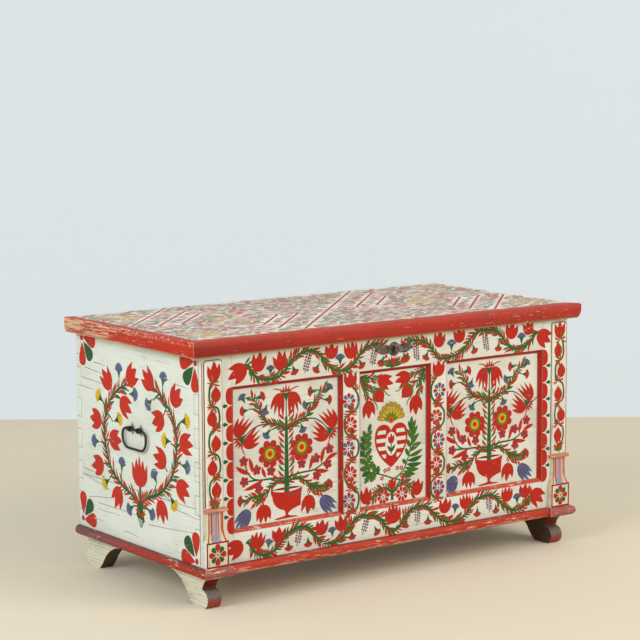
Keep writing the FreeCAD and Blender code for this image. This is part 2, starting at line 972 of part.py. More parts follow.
def bar_section(centre, across, radius):
    """An octagon round a point, with flats towards X and towards the direction across."""
    corners = []
    for n in range(bail_side_count):
        turn = 2 * math.pi * (n + 1 / 2) / bail_side_count
        corners.append(centre + vec(radius * math.cos(turn), 0, 0) + across * (radius * math.sin(turn)))
    return polygon_face(corners)


def bail_points(x):
    """The bail's middle line: an oblong whose rounded corners are hammered in short flats."""
    half = bail_width / 2
    foot = pivot_z - bail_drop
    share = (bail_drop - bail_radius) / (bail_top_corner + bail_bottom_corner)
    top_radius = bail_top_corner * min(share, 1)
    foot_radius = bail_bottom_corner * min(share, 1)
    points = [vec(x, handle_middle(), foot)]
    for side, z, up, radius, start in (
        (1, foot, -1, foot_radius, -90),
        (1, pivot_z, 1, top_radius, 0),
        (-1, pivot_z, 1, top_radius, 90),
        (-1, foot, -1, foot_radius, 180),
    ):
        centre = vec(x, handle_middle() + side * (half - radius), z - up * radius)
        for step in range(bail_corner_steps + 1):
            turn = math.radians(start + 90 * step / bail_corner_steps)
            points.append(centre + vec(0, radius * math.cos(turn), radius * math.sin(turn)))
    return points


def bail():
    """A closed bail of forged bar, with a collar outside each eye."""
    x = half_width + pivot_stand_off
    points = bail_points(x)
    path = Part.makePolygon(points + points[:1])
    section = bar_section(points[0], vec(0, 0, 1), bail_radius).OuterWire
    pieces = [path.makePipeShell([section], True, False, 1)]
    for sign, y in zip((-1, 1), eye_places()):
        near = y + sign * (eye_strip_width / 2 + bead_gap)
        start = vec(x, handle_middle() + near, pivot_z)
        collar = bar_section(start, vec(0, 0, 1), bead_radius)
        pieces.append(collar.extrude(vec(0, sign * bead_length, 0)))
    return fuse(*pieces)


def staple(y):
    """A split eye of flat strip: a ring round the bail, a leg, and two ends bent apart."""
    x = half_width + pivot_stand_off
    half = eye_strip_width / 2
    inside = side_inner - eye_strip_thickness
    ring = rod(eye_radius, vec(x, y - half, pivot_z), vec(x, y + half, pivot_z))
    bore = rod(
        bail_radius + eye_clearance, vec(x, y - half, pivot_z), vec(x, y + half, pivot_z)
    )
    leg = block(
        inside,
        x - bail_radius - eye_clearance,
        y - half,
        y + half,
        pivot_z - eye_leg_half,
        pivot_z + eye_leg_half,
    )
    ends = block(
        inside, side_inner, y - half, y + half, pivot_z - clinch_length, pivot_z + clinch_length
    )
    return cut(fuse(ring, leg, ends), bore)


def staple_holes():
    across = eye_strip_width / 2 + eye_leg_clearance
    upright = eye_leg_half + eye_leg_clearance
    holes = []
    for dy in eye_places():
        y = handle_middle() + dy
        x0 = side_inner - overrun
        x1 = half_width + overrun
        z0 = pivot_z - upright
        holes.append(block(x0, x1, y - across, y + across, z0, pivot_z + upright))
    return holes


def rose(y):
    """A lozenge of sheet iron that keeps the eye's leg from working into the board."""
    x0 = half_width
    x1 = half_width + rose_thickness
    outline = [(rose_width / 2, 0), (0, rose_height / 2), (-rose_width / 2, 0), (0, -rose_height / 2)]
    corners = [vec(x0, y + along, pivot_z + up) for along, up in outline]
    plate = polygon_face(corners).extrude(vec(rose_thickness, 0, 0))
    across = eye_strip_width / 2 + eye_leg_clearance
    upright = eye_leg_half + eye_leg_clearance
    z0 = pivot_z - upright
    slot = block(x0 - overrun, x1 + overrun, y - across, y + across, z0, pivot_z + upright)
    return cut(plate, slot)


def roses():
    right = [rose(handle_middle() + dy) for dy in eye_places()]
    return Part.makeCompound(right + [mirror_x(plate) for plate in right])


def handles():
    eyes = Part.makeCompound([staple(handle_middle() + dy) for dy in eye_places()])
    made = both_sides("bail", bail())
    made.update(both_sides("bail_eyes", eyes))
    made["bail_roses"] = roses()
    return made


# Escutcheon: sheet iron with a round boss and two leaf-shaped arms
def escutcheon():
    centre = keyhole_z - escutcheon_drop
    back = frame_face
    front = frame_face - escutcheon_thickness

    def disc(x, radius):
        return rod(radius, vec(x, back, centre), vec(x, front, centre))

    def arm(sign):
        half = arm_height / 2
        widest = (lobe_offset - lobe_length / 2, lobe_offset + lobe_length / 2)
        outline = [(0, half), (widest[0], lobe_half), (widest[1], lobe_half)]
        outline.append((tip_offset, tip_radius))
        outline += [(along, -up) for along, up in reversed(outline)]
        corners = [vec(sign * along, back, centre + up) for along, up in outline]
        return polygon_face(corners).extrude(vec(0, front - back, 0))

    pieces = [disc(0, boss_radius)]
    for sign in (-1, 1):
        pieces += [arm(sign), disc(sign * tip_offset, tip_radius)]
    plate = at_lock(fuse(*pieces))
    return cut(plate, keyhole(0, front - overrun, back + overrun), *tack_holes())


def tack_places():
    front = frame_face - escutcheon_thickness
    centre = keyhole_z - escutcheon_drop
    offsets = (-tip_offset, -boss_tack_offset, boss_tack_offset, tip_offset)
    return [(vec(lock_offset + x, front, centre), vec(0, 1, 0)) for x in offsets]


def tack_holes():
    half = tack_shank_half + nail_clearance
    return [square_rod(half, p - into * overrun, p + into * tack_length) for p, into in tack_places()]


def tacks():
    made = [
        nail(p, tack_head_half, tack_head_height, tack_shank_half, tack_length)
        for p in tack_places()
    ]
    return Part.makeCompound(made)


# Lock: a plate inside the front, and a bolt that slides sideways through the lid's hasp
def lock_plate():
    top = case_top - lock_top_drop
    half = lock_width / 2
    plate = block(-half, half, front_inner, lock_face, top - lock_height, top)
    hole = keyhole(0, front_inner - overrun, lock_face + overrun)
    return cut(at_lock(plate), hole, *nail_holes(lock_nail_places()))


def lock_bolt():
    y0 = bolt_y - bolt_thickness / 2
    z0 = bolt_z - bolt_height / 2
    bar = block(bolt_start, bolt_end, y0, y0 + bolt_thickness, z0, z0 + bolt_height)
    half = talon_width / 2
    talon = block(
        -half, half, y0 - overrun, y0 + bolt_thickness + overrun, z0 - overrun, z0 + talon_depth
    )
    return cut(bar, talon)


def bolt_guide(x):
    room_y = bolt_thickness / 2 + guide_clearance
    room_z = bolt_height / 2 + guide_clearance
    x1 = x + guide_width
    outer = block(
        x,
        x1,
        lock_face,
        bolt_y + room_y + guide_wall,
        bolt_z - room_z - guide_wall,
        bolt_z + room_z + guide_wall,
    )
    window = block(
        x - overrun,
        x1 + overrun,
        bolt_y - room_y,
        bolt_y + room_y,
        bolt_z - room_z,
        bolt_z + room_z,
    )
    return cut(outer, window)


def key_bridge():
    """The strap behind the keyhole that steadies the tip of the key."""
    half = key_bridge_span / 2
    centre = keyhole_z
    z0 = centre - key_bridge_width / 2
    z1 = centre + key_bridge_width / 2
    outer = block(-half, half, lock_face, lock_face + key_bridge_room + key_bridge_wall, z0, z1)
    room = half - key_bridge_wall
    inner = block(
        -room, room, lock_face - overrun, lock_face + key_bridge_room, z0 - overrun, z1 + overrun
    )
    hole = rod(
        key_pin_radius,
        vec(0, lock_face, centre),
        vec(0, lock_face + key_bridge_room + key_bridge_wall + overrun, centre),
    )
    return cut(outer, inner, hole)


def lock_spring():
    """A leaf spring from a post on the plate, pressing down near the bolt's talon."""
    foot_z = bolt_z + bolt_height / 2 + spring_clearance
    post_z = foot_z + spring_rise
    y0 = bolt_y - spring_leaf_width / 2
    a = vec(spring_post_offset, y0, post_z)
    b = vec(spring_tip_offset, y0, foot_z)
    lift = vec(0, 0, spring_leaf_thickness)
    low_middle = bow(a, b, spring_bow, vec(0, 0, -1))
    leaf = face_of(
        [
            line(a + lift, a),
            arc(a, low_middle, b),
            line(b, b + lift),
            arc(b + lift, low_middle + lift, a + lift),
        ]
    ).extrude(vec(0, spring_leaf_width, 0))
    post_end = bolt_y + spring_leaf_width / 2
    post_centre = post_z + spring_leaf_thickness / 2
    post = rod(
        spring_post_radius,
        vec(spring_post_offset, lock_face, post_centre),
        vec(spring_post_offset, post_end, post_centre),
    )
    return fuse(leaf, post)


def hasp_plate_shift():
    """How far the hasp's plate lies behind its staple, so that it clears the front board."""
    return hasp_plate_length / 2 - bolt_thickness / 2 - hasp_clearance - hasp_leg_thickness


def lid_hasp():
    """A plate under the lid with a staple that the bolt shoots through."""
    half_bar = hasp_bar_width / 2
    room_y = bolt_thickness / 2 + hasp_clearance
    foot = bolt_z - bolt_height / 2 - hasp_clearance
    under = case_top - hasp_plate_thickness
    x0 = hasp_offset - half_bar
    x1 = hasp_offset + half_bar
    outer_y = room_y + hasp_leg_thickness
    staple_block = block(
        x0, x1, bolt_y - outer_y, bolt_y + outer_y, foot - hasp_bar_height, under
    )
    window = block(x0 - overrun, x1 + overrun, bolt_y - room_y, bolt_y + room_y, foot, under)
    half = hasp_plate_width / 2
    y0 = bolt_y + hasp_plate_shift() - hasp_plate_length / 2
    plate = block(
        hasp_offset - half, hasp_offset + half, y0, y0 + hasp_plate_length, under, case_top
    )
    body = at_lock(fuse(cut(staple_block, window), plate))
    return cut(body, *nail_holes(hasp_nail_places()))


def lock():
    bridges = [bolt_guide(x) for x in guide_offsets] + [key_bridge()]
    return {
        "lock_plate": lock_plate(),
        "lock_bridges": at_lock(Part.makeCompound(bridges)),
        "lock_spring": at_lock(lock_spring()),
        "lock_bolt": at_lock(lock_bolt()),
        "lid_hasp": lid_hasp(),
    }


def all_pieces():
    made = {}
    groups = (case_boards, bottom_boards, planted_frame, pilasters, base_mouldings, feet)
    groups += (lid_boards, lid_mouldings, hinges, fixings, handles, lock)
    for group in groups:
        made.update(group())
    made["escutcheon"] = escutcheon()
    made["escutcheon_tacks"] = tacks()
    return made


os.makedirs("parts", exist_ok=True)
for node, shape in all_pieces().items():
    shape.exportStep(f"parts/{node}.step")
    print(node, len(shape.Solids), shape.isValid(), round(shape.Volume))
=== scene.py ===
import math
import random

import bmesh
import bpy
from mathutils import Matrix, Vector


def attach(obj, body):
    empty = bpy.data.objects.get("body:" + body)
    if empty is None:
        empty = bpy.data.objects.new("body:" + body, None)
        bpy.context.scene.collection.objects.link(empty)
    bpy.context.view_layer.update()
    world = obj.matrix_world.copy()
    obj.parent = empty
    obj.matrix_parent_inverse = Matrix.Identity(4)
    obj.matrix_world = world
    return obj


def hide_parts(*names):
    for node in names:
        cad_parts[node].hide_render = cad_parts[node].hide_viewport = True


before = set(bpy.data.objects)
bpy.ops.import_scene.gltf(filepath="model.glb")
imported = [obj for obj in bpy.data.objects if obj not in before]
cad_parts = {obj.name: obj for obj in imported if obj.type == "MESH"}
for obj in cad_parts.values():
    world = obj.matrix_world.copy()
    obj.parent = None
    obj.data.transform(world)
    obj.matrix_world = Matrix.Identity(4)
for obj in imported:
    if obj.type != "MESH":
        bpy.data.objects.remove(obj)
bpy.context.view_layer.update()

# Camera, floor, wall and lights: not part of the chest. A long lens from the left front corner,
# at the height of a standing person, and soft daylight that is strongest from the left.
camera_data = bpy.data.cameras.new("camera")
camera_data.sensor_width = 36.0
camera_data.lens = 118.95
camera_data.clip_end = 60.0
azimuth, pitch, roll = 0.63009, 0.131387, -0.0053668
forward = Vector(
    (math.sin(azimuth) * math.cos(pitch), math.cos(azimuth) * math.cos(pitch), -math.sin(pitch))
)
level_right = Vector((math.cos(azimuth), -math.sin(azimuth), 0.0))
level_up = level_right.cross(forward)
right = level_right * math.cos(roll) + level_up * math.sin(roll)
upward = level_up * math.cos(roll) - level_right * math.sin(roll)
turned = Matrix((right, upward, -forward)).transposed().to_4x4()


def linked(name, data):
    """A new object in the scene, at the origin."""
    made = bpy.data.objects.new(name, data)
    bpy.context.scene.collection.objects.link(made)
    return made


camera = linked("camera", camera_data)
camera.matrix_world = Matrix.Translation((-3.29670, -4.48620, 1.36815)) @ turned
bpy.context.scene.camera = camera


def linear(code):
    """An sRGB hex colour as the linear colour that shaders take."""
    parts = [int(code[i : i + 2], 16) / 255 for i in (1, 3, 5)]
    return [c / 12.92 if c <= 0.04045 else ((c + 0.055) / 1.055) ** 2.4 for c in parts] + [1.0]


def node(tree, kind, inputs=None, **settings):
    """Adds a node. Settings are its own fields; inputs are values or the sockets that feed it."""
    made = tree.nodes.new(kind)
    for name, value in settings.items():
        setattr(made, name, value)
    for name, value in (inputs or {}).items():
        if isinstance(value, bpy.types.NodeSocket):
            tree.links.new(value, made.inputs[name])
        else:
            made.inputs[name].default_value = value
    return made


def empty_tree(kind, name):
    """A new material or world, and its node tree with nothing in it."""
    made = kind.new(name)
    made.use_nodes = True
    made.node_tree.nodes.clear()
    return made, made.node_tree


def mixed(tree, amount, first, second):
    return node(tree, "ShaderNodeMixShader", {0: amount, 1: first, 2: second}).outputs[0]


def flat_material(name, code, shown):
    """Matt paint on a studio floor or wall, seen at nearly its own brightness, but it takes shadow.
    Its back is clear, so that a camera behind the wall or under the floor sees the chest."""
    material, tree = empty_tree(bpy.data.materials, name)
    matt = node(tree, "ShaderNodeBsdfDiffuse", {"Color": linear(code)}).outputs[0]
    glow = node(tree, "ShaderNodeEmission", {"Color": linear(code)}).outputs[0]
    path = node(tree, "ShaderNodeLightPath").outputs["Is Camera Ray"]
    seen = node(tree, "ShaderNodeMath", {0: path, 1: shown}, operation="MULTIPLY").outputs[0]
    behind = node(tree, "ShaderNodeNewGeometry").outputs["Backfacing"]
    clear = node(tree, "ShaderNodeBsdfTransparent").outputs[0]
    one_sided = mixed(tree, behind, mixed(tree, seen, matt, glow), clear)
    node(tree, "ShaderNodeOutputMaterial", {"Surface": one_sided})
    return material


def stage_plane(name, corners, material):
    mesh = bpy.data.meshes.new(name)
    mesh.from_pydata(corners, [], [tuple(range(len(corners)))])
    mesh.materials.append(material)
    linked(name, mesh)


floor_reach, wall_height = 14, 9
floor_corners = [(x * floor_reach, y * floor_reach, 0) for x, y in ((-1, -1), (1, -1), (1, 1), (-1, 1))]
stage_plane("floor", floor_corners, flat_material("matt_pale_floor", "#e2d5be", 0.08))
wall_ends = ((-8.71, 8.96), (9.69, -4.60))
wall_corners = [(*wall_ends[i], z) for i, z in ((0, 0), (1, 0), (1, wall_height), (0, wall_height))]
stage_plane("wall", wall_corners, flat_material("matt_pale_wall", "#dce4e6", 0.75))

world, sky_tree = empty_tree(bpy.data.worlds, "soft_daylight")
bpy.context.scene.world = world
rays = node(sky_tree, "ShaderNodeLightPath").outputs
either = {0: rays["Is Camera Ray"], 1: rays["Is Glossy Ray"]}
sight = node(sky_tree, "ShaderNodeMath", either, operation="MAXIMUM").outputs[0]
sky = node(sky_tree, "ShaderNodeBackground", {"Color": linear("#e9eef2"), "Strength": 0.62}).outputs[0]
haze = node(sky_tree, "ShaderNodeBackground", {"Color": linear("#dfe8ea"), "Strength": 1.0}).outputs[0]
node(sky_tree, "ShaderNodeOutputWorld", {"Surface": mixed(sky_tree, sight, sky, haze)})


def lamp(name, place, target, size, power, code):
    data = bpy.data.lights.new(name, "AREA")
    data.shape = "SQUARE"
    data.size = size
    data.energy = power
    data.color = linear(code)[:3]
    light = linked(name, data)
    light.location = place
    light.rotation_euler = (Vector(target) - Vector(place)).to_track_quat("-Z", "Y").to_euler()


lamp("window_left", (-4.6, -1.0, 2.8), (0, 0, 0.35), 2.6, 150, "#f2f9ff")
lamp("window_front", (2.3, -4.3, 3.3), (0.2, 0, 0.35), 3.0, 154, "#fffaf4")
bpy.context.scene.view_settings.view_transform = "Standard"

# White boards: wide pine planks, glued edge to edge and dovetailed, brushed with white oil
# paint. The paint has yellowed a little, cracks along the grain, and has flaked off in small
# chips. The inside and the back were never painted.
half_width, frame_y, panel_y = 590, -292.65, -280.65
pine = "#b48d5c"
old_crack = "#5f4d3a"


def fade(tree, value, low, high, start=0.0, end=1.0):
    """A value carried from one range to another and held at its ends."""
    span = {"Value": value, "From Min": low, "From Max": high, "To Min": start, "To Max": end}
    return node(tree, "ShaderNodeMapRange", span).outputs[0]


def blended(tree, amount, first, second, mode="MIX"):
    """One colour over another."""
    inputs = {0: amount, 6: first, 7: second}
    return node(tree, "ShaderNodeMix", inputs, data_type="RGBA", blend_type=mode).outputs[2]


def calc(tree, operation, first, second=0.0):
    return node(tree, "ShaderNodeMath", {0: first, 1: second}, operation=operation).outputs[0]


def plus(tree, first, second):
    return calc(tree, "ADD", first, second)


def minus(tree, first, second):
    return calc(tree, "SUBTRACT", first, second)


def times(tree, first, second):
    return calc(tree, "MULTIPLY", first, second)


def noise(tree, vector, per_unit=1.0, detail=4.0, rough=0.6):
    settings = {"Vector": vector, "Scale": per_unit, "Detail": detail, "Roughness": rough}
    return node(tree, "ShaderNodeTexNoise", settings).outputs["Fac"]


def grain(tree, coords, axis, per_metre, shift=0.0, pull=0.025, detail=4.0, rough=0.6):
    """Noise drawn out along the grain of a board, so that its pattern is long and thin."""
    scale = [per_metre * (pull if letter == axis else 1.0) for letter in "xyz"]
    place = {"Vector": coords, "Scale": scale, "Location": (shift, shift, shift)}
    return noise(tree, node(tree, "ShaderNodeMapping", place).outputs[0], 1.0, detail, rough)


def xyz(tree, vector):
    return node(tree, "ShaderNodeSeparateXYZ", {0: vector}).outputs


def surface(tree, shade, rough, height, strength, depth, more):
    """The shader with its bump, wired to the material's output."""
    bump = node(tree, "ShaderNodeBump", {"Strength": strength, "Distance": depth, "Height": height})
    inputs = {"Base Color": shade, "Roughness": rough, "Normal": bump.outputs[0], **more}
    shader = node(tree, "ShaderNodeBsdfPrincipled", inputs)
    node(tree, "ShaderNodeOutputMaterial", {"Surface": shader.outputs[0]})


def brushed_paint(name, code, under, axis, wear=0.5, dirt=0.5, shine=0.55, cracks=1.0):
    """Old oil paint on a board whose grain runs along axis: streaks from the brush, long cracks,
    chips down to what is under it, and grime in broad clouds. Wear runs from 0 to 1; the code is
    a hex colour, or a function that paints a pattern from the tree and its coordinates."""
    material, tree = empty_tree(bpy.data.materials, name)
    coords = node(tree, "ShaderNodeTexCoord").outputs["Object"]
    streak = grain(tree, coords, axis, 420.0, detail=5.0, rough=0.65)
    line = minus(tree, grain(tree, coords, axis, 62.0, 3.0, detail=3.0, rough=0.55), 0.5)
    split = fade(tree, calc(tree, "ABSOLUTE", line), 0.0, 0.011, 1.0, 0.0)
    split = times(tree, split, fade(tree, noise(tree, coords, 7.0, 2.0, 0.5), 0.5, 0.6, 0.0, cracks))
    cloud = noise(tree, coords, 11.0, 5.0, 0.6)
    chip = plus(tree, grain(tree, coords, axis, 210.0, 5.0, 0.16, 6.0, 0.68), times(tree, streak, 0.5))
    chip = plus(tree, chip, times(tree, cloud, 0.35))
    edge = 1.16 - 0.16 * wear
    chip = fade(tree, chip, edge, edge + 0.04)
    tone = code(tree, coords) if callable(code) else linear(code)
    dark = blended(tree, 1.0, tone, (0.8, 0.8, 0.8, 1.0), "MULTIPLY")
    shade = blended(tree, fade(tree, streak, 0.35, 0.68, 0.0, 0.5), tone, dark)
    grime = fade(tree, cloud, 0.48, 0.75, 0.0, 0.5 * dirt)
    shade = blended(tree, grime, shade, linear("#8a7a5c"), "MULTIPLY")
    shade = blended(tree, chip, shade, linear(under))
    shade = blended(tree, split, shade, linear(old_crack))
    height = minus(tree, minus(tree, times(tree, streak, 0.35), times(tree, chip, 0.5)), split)
    rough = fade(tree, plus(tree, streak, chip), 0.2, 1.4, shine - 0.08, shine + 0.3)
    surface(tree, shade, rough, height, 0.6, 0.0006, {"Specular IOR Level": 0.22})
    return material


def bare_wood(name, code, axis, age=0.5):
    """Planed softwood, never painted: growth rings cut lengthwise as darker lines, and dust."""
    material, tree = empty_tree(bpy.data.materials, name)
    coords = node(tree, "ShaderNodeTexCoord").outputs["Object"]
    warp = grain(tree, coords, axis, 26.0, detail=3.0, rough=0.5)
    fibre = grain(tree, coords, axis, 900.0, detail=3.0)
    dust = fade(tree, noise(tree, coords, 6.0, 4.0, 0.6), 0.4, 0.75, 0.0, age)
    rings = calc(tree, "SINE", times(tree, warp, 95.0))
    tone = linear(code)
    late = [tone[0] * 0.58, tone[1] * 0.5, tone[2] * 0.42, 1.0]
    shade = blended(tree, fade(tree, rings, -0.2, 1.0, 0.0, 0.55), tone, late)
    shade = blended(tree, fade(tree, fibre, 0.35, 0.7, 0.0, 0.35), shade, late)
    shade = blended(tree, dust, shade, linear("#6b5a45"), "MULTIPLY")
    surface(tree, shade, 0.72, plus(tree, times(tree, rings, 0.3), fibre), 0.45, 0.0005, {"IOR": 1.5})
    return material


front_white = brushed_paint("aged_white_oil_paint_front", "#e1e0d2", pine, "x", 0.3, 0.45, cracks=0.5)
stile_white = brushed_paint("aged_white_oil_paint_upright", "#e1e0d2", pine, "z", 0.3, 0.45, cracks=0.5)
# The sides get a cooler, darker copy of the same aged white: painted light for the daylight on them; its
# cracks and chips are wear.
side_white_daylit = brushed_paint("aged_white_oil_paint_side_painted_daylight", "#dce0d4", "#a8977c", "y", 0.25, 0.3, cracks=0.3)
edge_white = brushed_paint("rubbed_white_paint_edge", "#9c8767", "#7d6240", "x", 1.1, 0.8)
pine_along_x = bare_wood("bare_pine_along_x", "#a9875c", "x")
pine_along_y = bare_wood("bare_pine_along_y", "#a9875c", "y")
pine_along_z = bare_wood("bare_pine_along_z", "#a9875c", "z")


def settled(piece):
    """The plain mesh that a piece's modifiers make."""
    return bpy.data.meshes.new_from_object(piece.evaluated_get(bpy.context.evaluated_depsgraph_get()))


bevel_angle, sharp_angle = 28, 35


def dressed(name, body, slot_name, materials, pick, round_edge, edge_index, *nodes):
    """Stands for CAD nodes: their own faces, each with a material picked from where it lies and
    which way it looks, and with their arrises softened by use."""
    made = bmesh.new()
    for source in nodes:
        made.from_mesh(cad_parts[source].data)
    bmesh.ops.remove_doubles(made, verts=made.verts, dist=1e-6)
    bmesh.ops.dissolve_limit(made, angle_limit=math.radians(1.0), verts=made.verts, edges=made.edges)
    for face in made.faces:
        face.material_index = pick(face.calc_center_median() * 1000, face.normal)
        face.smooth = True
    mesh = bpy.data.meshes.new(name)
    made.to_mesh(mesh)
    made.free()
    for material in materials:
        mesh.materials.append(material)
    piece = linked(name, mesh)
    bevel = piece.modifiers.new("softened", "BEVEL")
    bevel.width = round_edge / 1000
    bevel.segments = 2
    bevel.limit_method = "ANGLE"
    bevel.angle_limit = math.radians(bevel_angle)
    bevel.material = edge_index
    bevel.use_clamp_overlap = True
    solid = settled(piece)
    piece.modifiers.clear()
    piece.data = solid
    piece.data.name = name
    piece.data.set_sharp_from_angle(angle=math.radians(sharp_angle))
    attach(piece, body)
    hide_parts(*nodes)


board_paints = [front_white, side_white_daylit, pine_along_x, edge_white]


def board_face_of(centre, normal):
    if normal.y < -0.9 and centre.y < panel_y + 0.5:
        return 0
    if abs(centre.x) > half_width - 0.5 and abs(normal.x) > 0.9:
        return 1
    return 2


for part in ("front_board_lower", "front_board_upper"):
    dressed(part + "_painted", "case", "white_painted_wood", board_paints, board_face_of, 0.5, 3, part)
side_paints = [front_white, side_white_daylit, pine_along_y, edge_white]
for side in ("left", "right"):
    for level in ("lower", "upper"):
        part = f"side_board_{level}_{side}"
        dressed(part + "_painted", "case", "white_painted_wood", side_paints, board_face_of, 0.8, 3, part)


def assign(material, *names):
    """Gives CAD nodes that keep their shape their material."""
    for name in names:
        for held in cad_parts[name].material_slots:
            held.material = material


back_paints = [pine_along_x, side_white_daylit, pine_along_x, edge_white]
for part in ("back_board_lower", "back_board_upper"):
    dressed(part + "_dovetailed", "case", "bare_wood", back_paints, board_face_of, 0.5, 2, part)
assign(pine_along_x, "bottom_board_1", "bottom_board_2", "bottom_board_3")
assign(pine_along_y, "till_side", "till_bottom")

# Planted frame: stiles, muntins and rails of 12 mm pine, nailed and glued over the front so
# that three sunk panels stay open. Their bevels are red; the faces are white like the boards.
bevel_red = brushed_paint("red_oil_paint_bevel", "#ab1d0f", "#dcd3bf", "z", 0.35, 0.5)
foot_red = brushed_paint("worn_red_oil_paint_bevel", "#c94a35", "#e0cfb8", "x", 0.95, 0.3)


def frame_face_of(centre, normal):
    if normal.y < -0.97:
        return 0
    if normal.y < -0.2:
        return 3 if normal.z > 0.3 else 2
    return 1 if abs(centre.x) > half_width - 0.5 else 4


for part in ("frame_stile_left", "frame_stile_right", "frame_muntin_left", "frame_muntin_right"):
    paints = [stile_white, side_white_daylit, bevel_red, foot_red, pine_along_z, edge_white]
    dressed(part + "_painted", "case", "white_painted_wood", paints, frame_face_of, 0.6, 5, part)
for part in ("frame_top_rail", "frame_bottom_rail"):
    paints = [front_white, side_white_daylit, bevel_red, foot_red, pine_along_x, edge_white]
    dressed(part + "_painted", "case", "white_painted_wood", paints, frame_face_of, 0.6, 5, part)

# Painted ornament: flowers in red, green, blue and yellow oil paint, laid wet over the white in
# single strokes. Each stroke is a thin skin of paint that stands a little proud of the board,
# and the sprays of small leaves follow their stems.
random.seed(1904)


def oils(axis):
    """The painter's palette on boards with this grain."""
    paints = {
        "red": ("#c02812" if axis == "y" else "#b9230d", 0.3),
        "deep": ("#8e150b", 0.3),
        "green": ("#3a611f" if axis == "y" else "#446a20", 0.4),
        "leaf": ("#245226" if axis == "y" else "#2b5a26", 0.35),
        "olive": ("#66781f", 0.4),
        "blue": ("#50668e", 0.5),
        "violet": ("#4a4460", 0.4),
        "plum": ("#7c2f3a", 0.4),
        "yellow": ("#d6b322", 0.4),
        "orange": ("#cf5d1c", 0.4),
        "white": ("#e1e0d2", 0.3),
        "gold": ("#a98a2c", 0.5),
        "brown": ("#6a4a32", 0.6),
        "rust": ("#b0622f", 0.7),
        "tan": ("#c8a06e", 0.6),
    }
    made = {}
    for key, (code, wear) in paints.items():
        made[key] = brushed_paint(f"{key}_oil_paint_on_{axis}", code, "#dcd5c4", axis, wear, 0.35, 0.48)
    return made


palette = {axis: oils(axis) for axis in ("x", "y", "z")}


def shape(*knots, steps=5):
    """A closed outline of curved spans: point, control, point, control and so on."""
    points = []
    count = len(knots)
    for i in range(0, count, 2):
        start, bend, end = knots[i], knots[i + 1], knots[(i + 2) % count]
        for s in range(steps):
            t = s / steps
            u = 1 - t
            points.append(
                tuple(u * u * start[k] + 2 * u * t * bend[k] + t * t * end[k] for k in (0, 1))
            )
    return points


def smooth(points, pace=3.0):
    """A flowing line through given points."""
    line = []
    ends = [points[0]] + list(points) + [points[-1]]
    for a, b, c, d in zip(ends, ends[1:], ends[2:], ends[3:]):
        count = max(2, int(math.dist(b, c) / pace))
        for s in range(count):
            t = s / count
            line.append(
                tuple(
                    0.5
                    * (
                        2 * b[k]
                        + (c[k] - a[k]) * t
                        + (2 * a[k] - 5 * b[k] + 4 * c[k] - d[k]) * t**2
                        + (3 * b[k] - a[k] - 3 * c[k] + d[k]) * t**3
                    )
                    for k in (0, 1)
                )
            )
    return line + [tuple(points[-1])]


def polar(x, y, radius, degrees):
    """The point at a distance from another, in a direction."""
    return x + radius * math.cos(math.radians(degrees)), y + radius * math.sin(math.radians(degrees))


def heading(start, end):
    """How long a stroke is, and which way it runs."""
    return math.dist(start, end), math.degrees(math.atan2(end[1] - start[1], end[0] - start[0]))


